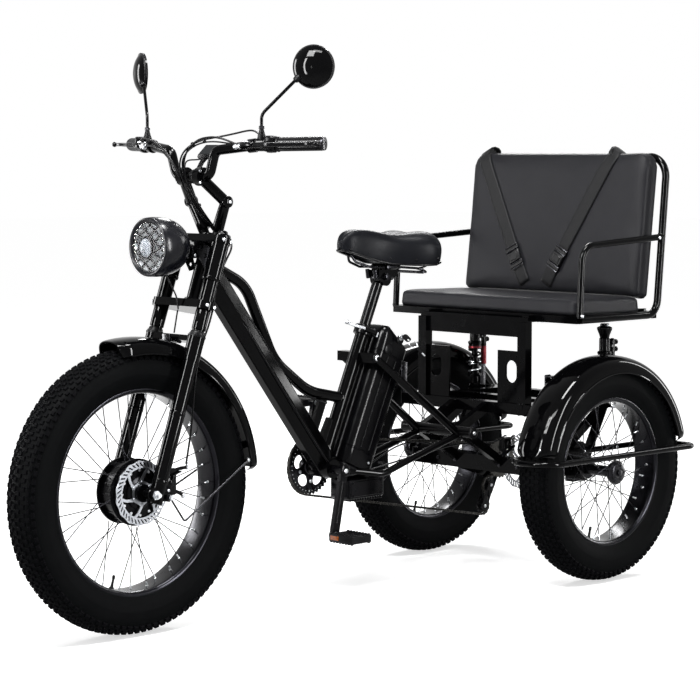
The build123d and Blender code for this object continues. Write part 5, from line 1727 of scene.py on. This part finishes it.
bm, bright = blanks(2)
caliper(bm, bright, (46.5, 74, 371), (21, 48, 66), 42.5, 7, 1, 36)
for arm in (((50, 92, 396), (50, 116, 401), (50, 140, 402)),
            ((50, 92, 348), (50, 109, 342), (50, 126, 332))):
    draw(bm, [at(*place) for place in arm], oblong(7, 9, 2, 3), side=X, scale=[1.1, 1, 0.8])
mill(bm, at(57, 45, 384), (12, 32, 22), 2)
for z in (378, 390):
    screw(bright, at(62, 38, z), X, 3.6, 3)
turn(bright, at(50, 138, 402), Z, [(-6, 4), (-5, 5.2), (5, 5.2), (6, 4), (16, 3.4)], 18)
turn(bright, at(50, 124, 332), Z, [(-5, 4), (-4, 5), (4, 5), (5, 4)], 18)
piece("front_caliper_body", bm, damper_coat, "steering", ["front_caliper"])
piece("front_caliper_bolts", bright, bright_steel, "steering")
bm, bright = blanks(2)
caliper(bm, bright, (45, 1316, 354), (23, 43, 39), 45.3, 8.6, -1, -18)
plate = [at(60, 1262, 322), at(60, 1292, 338), at(60, 1320, 352)]
draw(bm, plate, oblong(29, 5.6, 2, 3), side=X)
for station, z in ((1298, 341), (1318, 352)):
    screw(bright, at(63, station, z), X, 3.8, 3)
piece("rear_caliper_body", bm, damper_coat, "frame", ["rear_caliper"])
piece("rear_caliper_bolts", bright, bright_steel, "frame")
print("two calipers")

# %% Cables along the frame
held_cable("rear_brake_cable", [
    (12, 292, 806), (24, 330, 770), (27, 420, 640), (28, 520, 512), (28, 610, 392), (30, 668, 330),
    (34, 704, 320), (50, 780, 336), (66, 860, 352), (74, 960, 366), (72, 1080, 380),
    (66, 1180, 372), (62, 1262, 364), (60, 1292, 386), (56, 1300, 380)], 2.4, "frame")
held_cable("gear_cable", [
    (-12, 292, 806), (-24, 330, 770), (-27, 420, 640), (-28, 520, 512), (-28, 610, 392),
    (-30, 668, 326), (-36, 704, 318), (-66, 790, 296), (-84, 900, 322), (-86, 1010, 372),
    (-88, 1120, 372), (-92, 1200, 336), (-92, 1262, 330), (-92, 1310, 316), (-90, 1352, 286),
    (-82, 1372, 262)], 2.2, "frame")
held_cable("lamp_and_motor_lead", [
    (14, 296, 812), (20, 318, 782), (16, 360, 772), (18, 420, 700), (16, 470, 626), (12, 540, 560),
    (10, 600, 530), (20, 640, 520)], 2.6, "frame")
held_cable("battery_lead", [
    (16, 836, 292), (18, 856, 296), (26, 866, 318), (30, 850, 348), (24, 826, 346)], 3.2, "frame")
bm = bmesh.new()
for place, axis in (((28, 520, 512), (0, 0.61, -0.79)), ((-28, 520, 512), (0, 0.61, -0.79)),
                    ((74, 960, 366), (0, 1, 0.1)), ((-86, 1010, 372), (0, 1, 0.2))):
    turn(bm, at(*place), Vector(axis), [(-2.2, 3), (-2, 4.4), (2, 4.4), (2.2, 3)], 16)
piece("frame_cable_clips", bm, nylon, "frame")
print("four cables along the frame")

# %% [markdown]
# ## Drive train
# A bicycle chain has a pitch of 12.7 mm: rollers joined in turn by inner and outer plates.
# Its way is straight runs between tangent points and arcs round the wheels, and a link is
# laid at every pitch along it.

# %% Way of the chain
def touching(a, a_r, b, b_r):
    """Tangent points of the run from circle a to circle b; a negative radius runs inside."""
    reach = dist(a, b)
    heading = atan2(b[1] - a[1], b[0] - a[0])
    across = heading + acos((a_r - b_r) / reach)
    return [(c[0] + r * cos(across), c[1] + r * sin(across)) for c, r in ((a, a_r), (b, b_r))]


CRANK, REAR_AXLE, UPPER_PULLEY, LOWER_PULLEY = (650, 346), (1380, 302), (1352, 226), (1326, 168)
CHAIN_X, CHAIN_PITCH = -56, 12.7
RING_TEETH, PULLEY_TEETH = 36, 10
wheels = [(CRANK, 77.0), (REAR_AXLE, 40.5), (UPPER_PULLEY, -24.5), (LOWER_PULLEY, 24.5)]
runs = [touching(*wheels[i], *wheels[(i + 1) % 4]) for i in range(4)]
way = []
for i, (start, end) in enumerate(runs):
    centre, radius = wheels[(i + 1) % 4]
    leave = runs[(i + 1) % 4][0]
    steps = int(dist(start, end) / 2)
    way += list(np.linspace(start, end, steps, endpoint=False))
    first = atan2(end[1] - centre[1], end[0] - centre[0])
    last = atan2(leave[1] - centre[1], leave[0] - centre[0])
    turning = -1 if radius > 0 else 1
    sweep = (turning * (last - first)) % (2 * pi)
    steps = max(4, int(sweep * abs(radius) / 2))
    for t in np.linspace(first, first + turning * sweep, steps, endpoint=False):
        way.append((centre[0] + abs(radius) * cos(t), centre[1] + abs(radius) * sin(t)))
closed = np.vstack([way, way[:1]])
legs = np.linalg.norm(np.diff(closed, axis=0), axis=1)
along = np.concatenate([[0], np.cumsum(legs)])
links = 2 * round(along[-1] / CHAIN_PITCH / 2)
print(links, "links over", round(along[-1]), "mm")

# %% Chain links
stops = np.linspace(0, along[-1], links + 1)
pins = np.stack([np.interp(stops, along, closed[:, k]) for k in (0, 1)], axis=1)
link = []
for t in around(20):
    c, waist_end = cos(t), 0.45
    waist = 3.5 - 0.8 * max(0, 1 - abs(c) / waist_end)
    x = copysign(CHAIN_PITCH / 2, c) * min(1, abs(c) * 2.2) + 3.15 * c * (abs(c) > waist_end)
    link.append((x, waist * sin(t)))
bm, rollers = blanks(2)
for i in range(links):
    a, b = pins[i], pins[i + 1]
    run = (b - a) / np.linalg.norm(b - a)
    axes = (Y * run[0] + Z * run[1], Z * run[0] - Y * run[1], X)
    out = 2.9 if i % 2 else 1.9
    for x in (CHAIN_X - out, CHAIN_X + out):
        press(bm, [link], 0.9, at(x, *(a + b) / 2), axes)
    rod(rollers, at(CHAIN_X - 3.5, *a), at(CHAIN_X + 3.5, *a), 2.1, steps=8, edge=0.3)
piece("chain_plates", bm, chain_steel, "frame", ["chain"])
piece("chain_rollers", rollers, black_steel, "frame")
print("links laid", links)

# %% [markdown]
# Chainring and cogs are stamped plates with a tooth at every pitch. A tooth rises and falls
# like a rounded cosine, so the outline is one wave round the circle.

# %% Chainring and cogs
def toothed(teeth, tip_r, root_r, inner):
    """Outline of a sprocket with the given number of teeth, then its round bore."""
    height = tip_r - root_r
    return [
        polar((root_r + height * (0.5 + 0.5 * cos(t * teeth)) ** 0.8, t)
              for t in around(teeth * 8)),
        circle(inner, 40),
    ]


ARM_AT = 0.3
bm, bolts = blanks(2)
outlines = toothed(RING_TEETH, 77.5, 71.5, 16)
for middle in around(5):
    outlines.append(polar(
        (44 + 15 * sin(t), middle + ARM_AT + 0.40 * cos(t)) for t in around(32)))
press(bm, outlines, 3.2, at(CHAIN_X, *CRANK))
for x in (CHAIN_X - 2.2, CHAIN_X + 2.2):
    press(bm, [circle(69.5, 72), circle(63, 72)], 1.4, at(x, *CRANK))
turn(bm, at(CHAIN_X, *CRANK), X, [(-6, 11.6), (-6, 20), (-4, 22), (4, 22), (6, 20), (6, 11.6)], 40,
     loop=True)
for t in around(5, 0.5):
    screw(bolts, at(CHAIN_X + 3, *CRANK) + round_x(t + ARM_AT) * 0.040, X, 5, 2.4)
for t in around(36, 0.5):
    screw(bolts, at(CHAIN_X + 2.6, *CRANK) + round_x(t) * 0.0662, X, 1.5, 0.8, "dome")
piece("toothed_chainring", bm, black_steel, "crankset", ["chainring"])
piece("chainring_bolts", bolts, bright_steel, "crankset")
bm = bmesh.new()
for place in range(-3, 4):
    radius, x = 36 + place * 6.5, CHAIN_X + place * 6.6
    teeth = max(9, round(2 * pi * radius / CHAIN_PITCH))
    outlines = toothed(teeth, radius + 3.4, radius - 3.2, 14.5)
    for middle in around(6) if radius > 40 else ():
        outlines.append(polar(
            (radius * (0.62 + 0.14 * sin(t)), middle + place * 0.2 + 0.3 * cos(t))
            for t in around(20)))
    press(bm, outlines, 2.0, at(x, *REAR_AXLE))
turn(bm, at(0, *REAR_AXLE), X, [(-78, 10.2), (-78, 13), (-76.5, 15.5), (-34.5, 15.5), (-33, 14),
                                (-33, 10.2)], 36, loop=True)
piece("toothed_cogs", bm, chain_steel, "right_rear_wheel", ["rear_cogs"])
print("sprockets stamped")

# %% [markdown]
# The derailleur hangs under the cogs: a body on a hanger plate, a cage of two plates and two
# toothed nylon pulleys.

# %% Derailleur
bm, bright, pulleys = blanks(3)
press(bm, [[(1242, 286), (1262, 280), (1392, 236), (1400, 252), (1380, 264), (1260, 302),
            (1242, 300)]], 5, at(-84, 0, 0))
turn(bm, at(-87.5, 1384, 250), X, [(0, 11), (1, 12.5), (11, 12.5), (12.5, 10)], 32)
screw(bright, at(-88, 1384, 250), -X, 6, 3)
arm_low, arm_high = at(-71, 1356, 230), at(-78, 1384, 250)
arm_run, arm_middle = (arm_low - arm_high).normalized(), (arm_low + arm_high) / 2
arm_axes = (arm_run, X, arm_run.cross(X))
mill(bm, arm_middle, (36, 9, 22), 3, arm_axes)
mill(bm, arm_middle - X * 0.006 + Z * 0.005, (26, 6, 9), 2, arm_axes)
for x, out in ((-66.5, -1), (-47.5, 1)):
    cage = []
    for (u, v), radius, first in ((UPPER_PULLEY, 12, -26), (LOWER_PULLEY, 14, 154)):
        for t in np.radians(np.linspace(first, first + 180, 15)) + 0.5:
            cage.append((u + radius * cos(t), v + radius * sin(t)))
    hole = [(1339 + 4.5 * cos(t), 197 + 16 * sin(t)) for t in around(24)]
    press(bm, [cage, hole], 2, at(x, 0, 0))
    for place in (UPPER_PULLEY, LOWER_PULLEY):
        screw(bright, at(x + out, *place), X * out, 4.6, 2.4)
for place in (UPPER_PULLEY, LOWER_PULLEY):
    outlines = toothed(PULLEY_TEETH, 22.5, 17.8, 4)
    outlines += [circle(2.6, 16, u, v) for u, v in circle(11.5, 5)]
    press(pulleys, outlines, 3, at(CHAIN_X, *place))
    rod(pulleys, at(-66, *place), at(-48, *place), 4.4)
piece("derailleur_body", bm, damper_coat, "frame", ["derailleur"])
piece("derailleur_bolts", bright, bright_steel, "frame")
piece("derailleur_pulleys", pulleys, nylon, "frame")
print("derailleur hung")

# %% [markdown]
# The cranks keep their CAD shape, with a dust cap over the axle and washers at the pedals. A
# pedal is a nylon body round an axle: two side rails with square studs, cross ribs, and an
# amber reflector in the front and the back edge.

# %% Crank caps and pedals
reflector = finish(
    "amber_acrylic_reflector", "#8f4413", "#b0611f", 0.2, 3.0, 0.05, patch_mm=8, spread=0.05,
    index=1.49, Transmission_Weight=0.15)
CRANK_UP, CRANK_BACK = leaning(radians(20))


def down_crank(sign, x, along):
    """A place beside a crank arm, at a distance along it from the middle of the axle."""
    return at(sign * x, *CRANK) - CRANK_UP * (sign * along * MM)


bm, caps = blanks(2)
for sign in (1, -1):
    out = X * sign
    turn(caps, down_crank(sign, 79, 0), out, [(0, 15.5), (2, 15.5), (3.4, 13), (3.4, 6), (2, 4.5)],
         32)
    screw(bm, down_crank(sign, 81.5, 0), out, 6, 2.4)
    turn(bm, down_crank(sign, 88.5, 170), out, [(0, 6), (0.8, 8), (2.4, 8)], 24)
    turn(bm, down_crank(sign, 105, 170), out, [(0, 9), (1, 9), (3, 8), (5.8, 7.4)], 24)
    groove = [down_crank(sign, 82.2, 30), down_crank(sign, 98.4, 140)]
    draw(caps, groove, oblong(5, 1.6, 0.6, 2), side=CRANK_BACK * sign)
piece("crank_washers", bm, bright_steel, "crankset")
piece("crank_caps", caps, damper_coat, "crankset")
for side, sign in SIDES.items():
    tip = down_crank(sign, 0, 170)
    body, lamps, steel = blanks(3)

    def on_pedal(x, back, high):
        return tip + Vector((sign * x, back, high)) * MM

    for back in (-30, 30):
        mill(body, on_pedal(156.5, back, 0), (89, 7, 22), 2.5)
        mill(body, on_pedal(156.5, back * 0.72, 0), (89, 4, 16), 1.2)
        for k in range(8):
            for high in (11.4, -11.4):
                mill(body, on_pedal(119 + k * 10.7, back, high), (5, 5.4, 3), 0.7)
        mill(lamps, on_pedal(134, back * 1.118, 0), (30, 3, 11), 0.8)
    for x in (113.5, 130, 156.5, 183, 199.5):
        mill(body, on_pedal(x, 0, 0), (4.5, 60, 19), 1.5)
    turn(body, on_pedal(112, 0, 0), X * sign,
         [(0, 6.2), (0, 10), (88, 10), (90, 8.5), (90, 6.2)], 28, loop=True)
    turn(steel, on_pedal(196, 0, 0), X * sign, [(0, 5.8), (4, 5.6), (5.5, 4), (5.5, 0.02)], 20)
    piece(side + "_pedal_body", body, nylon, side + "_pedal", [side + "_pedal"])
    piece(side + "_pedal_reflectors", lamps, reflector, side + "_pedal")
    piece(side + "_pedal_end_cap", steel, black_steel, side + "_pedal")
print("pedals with reflectors")
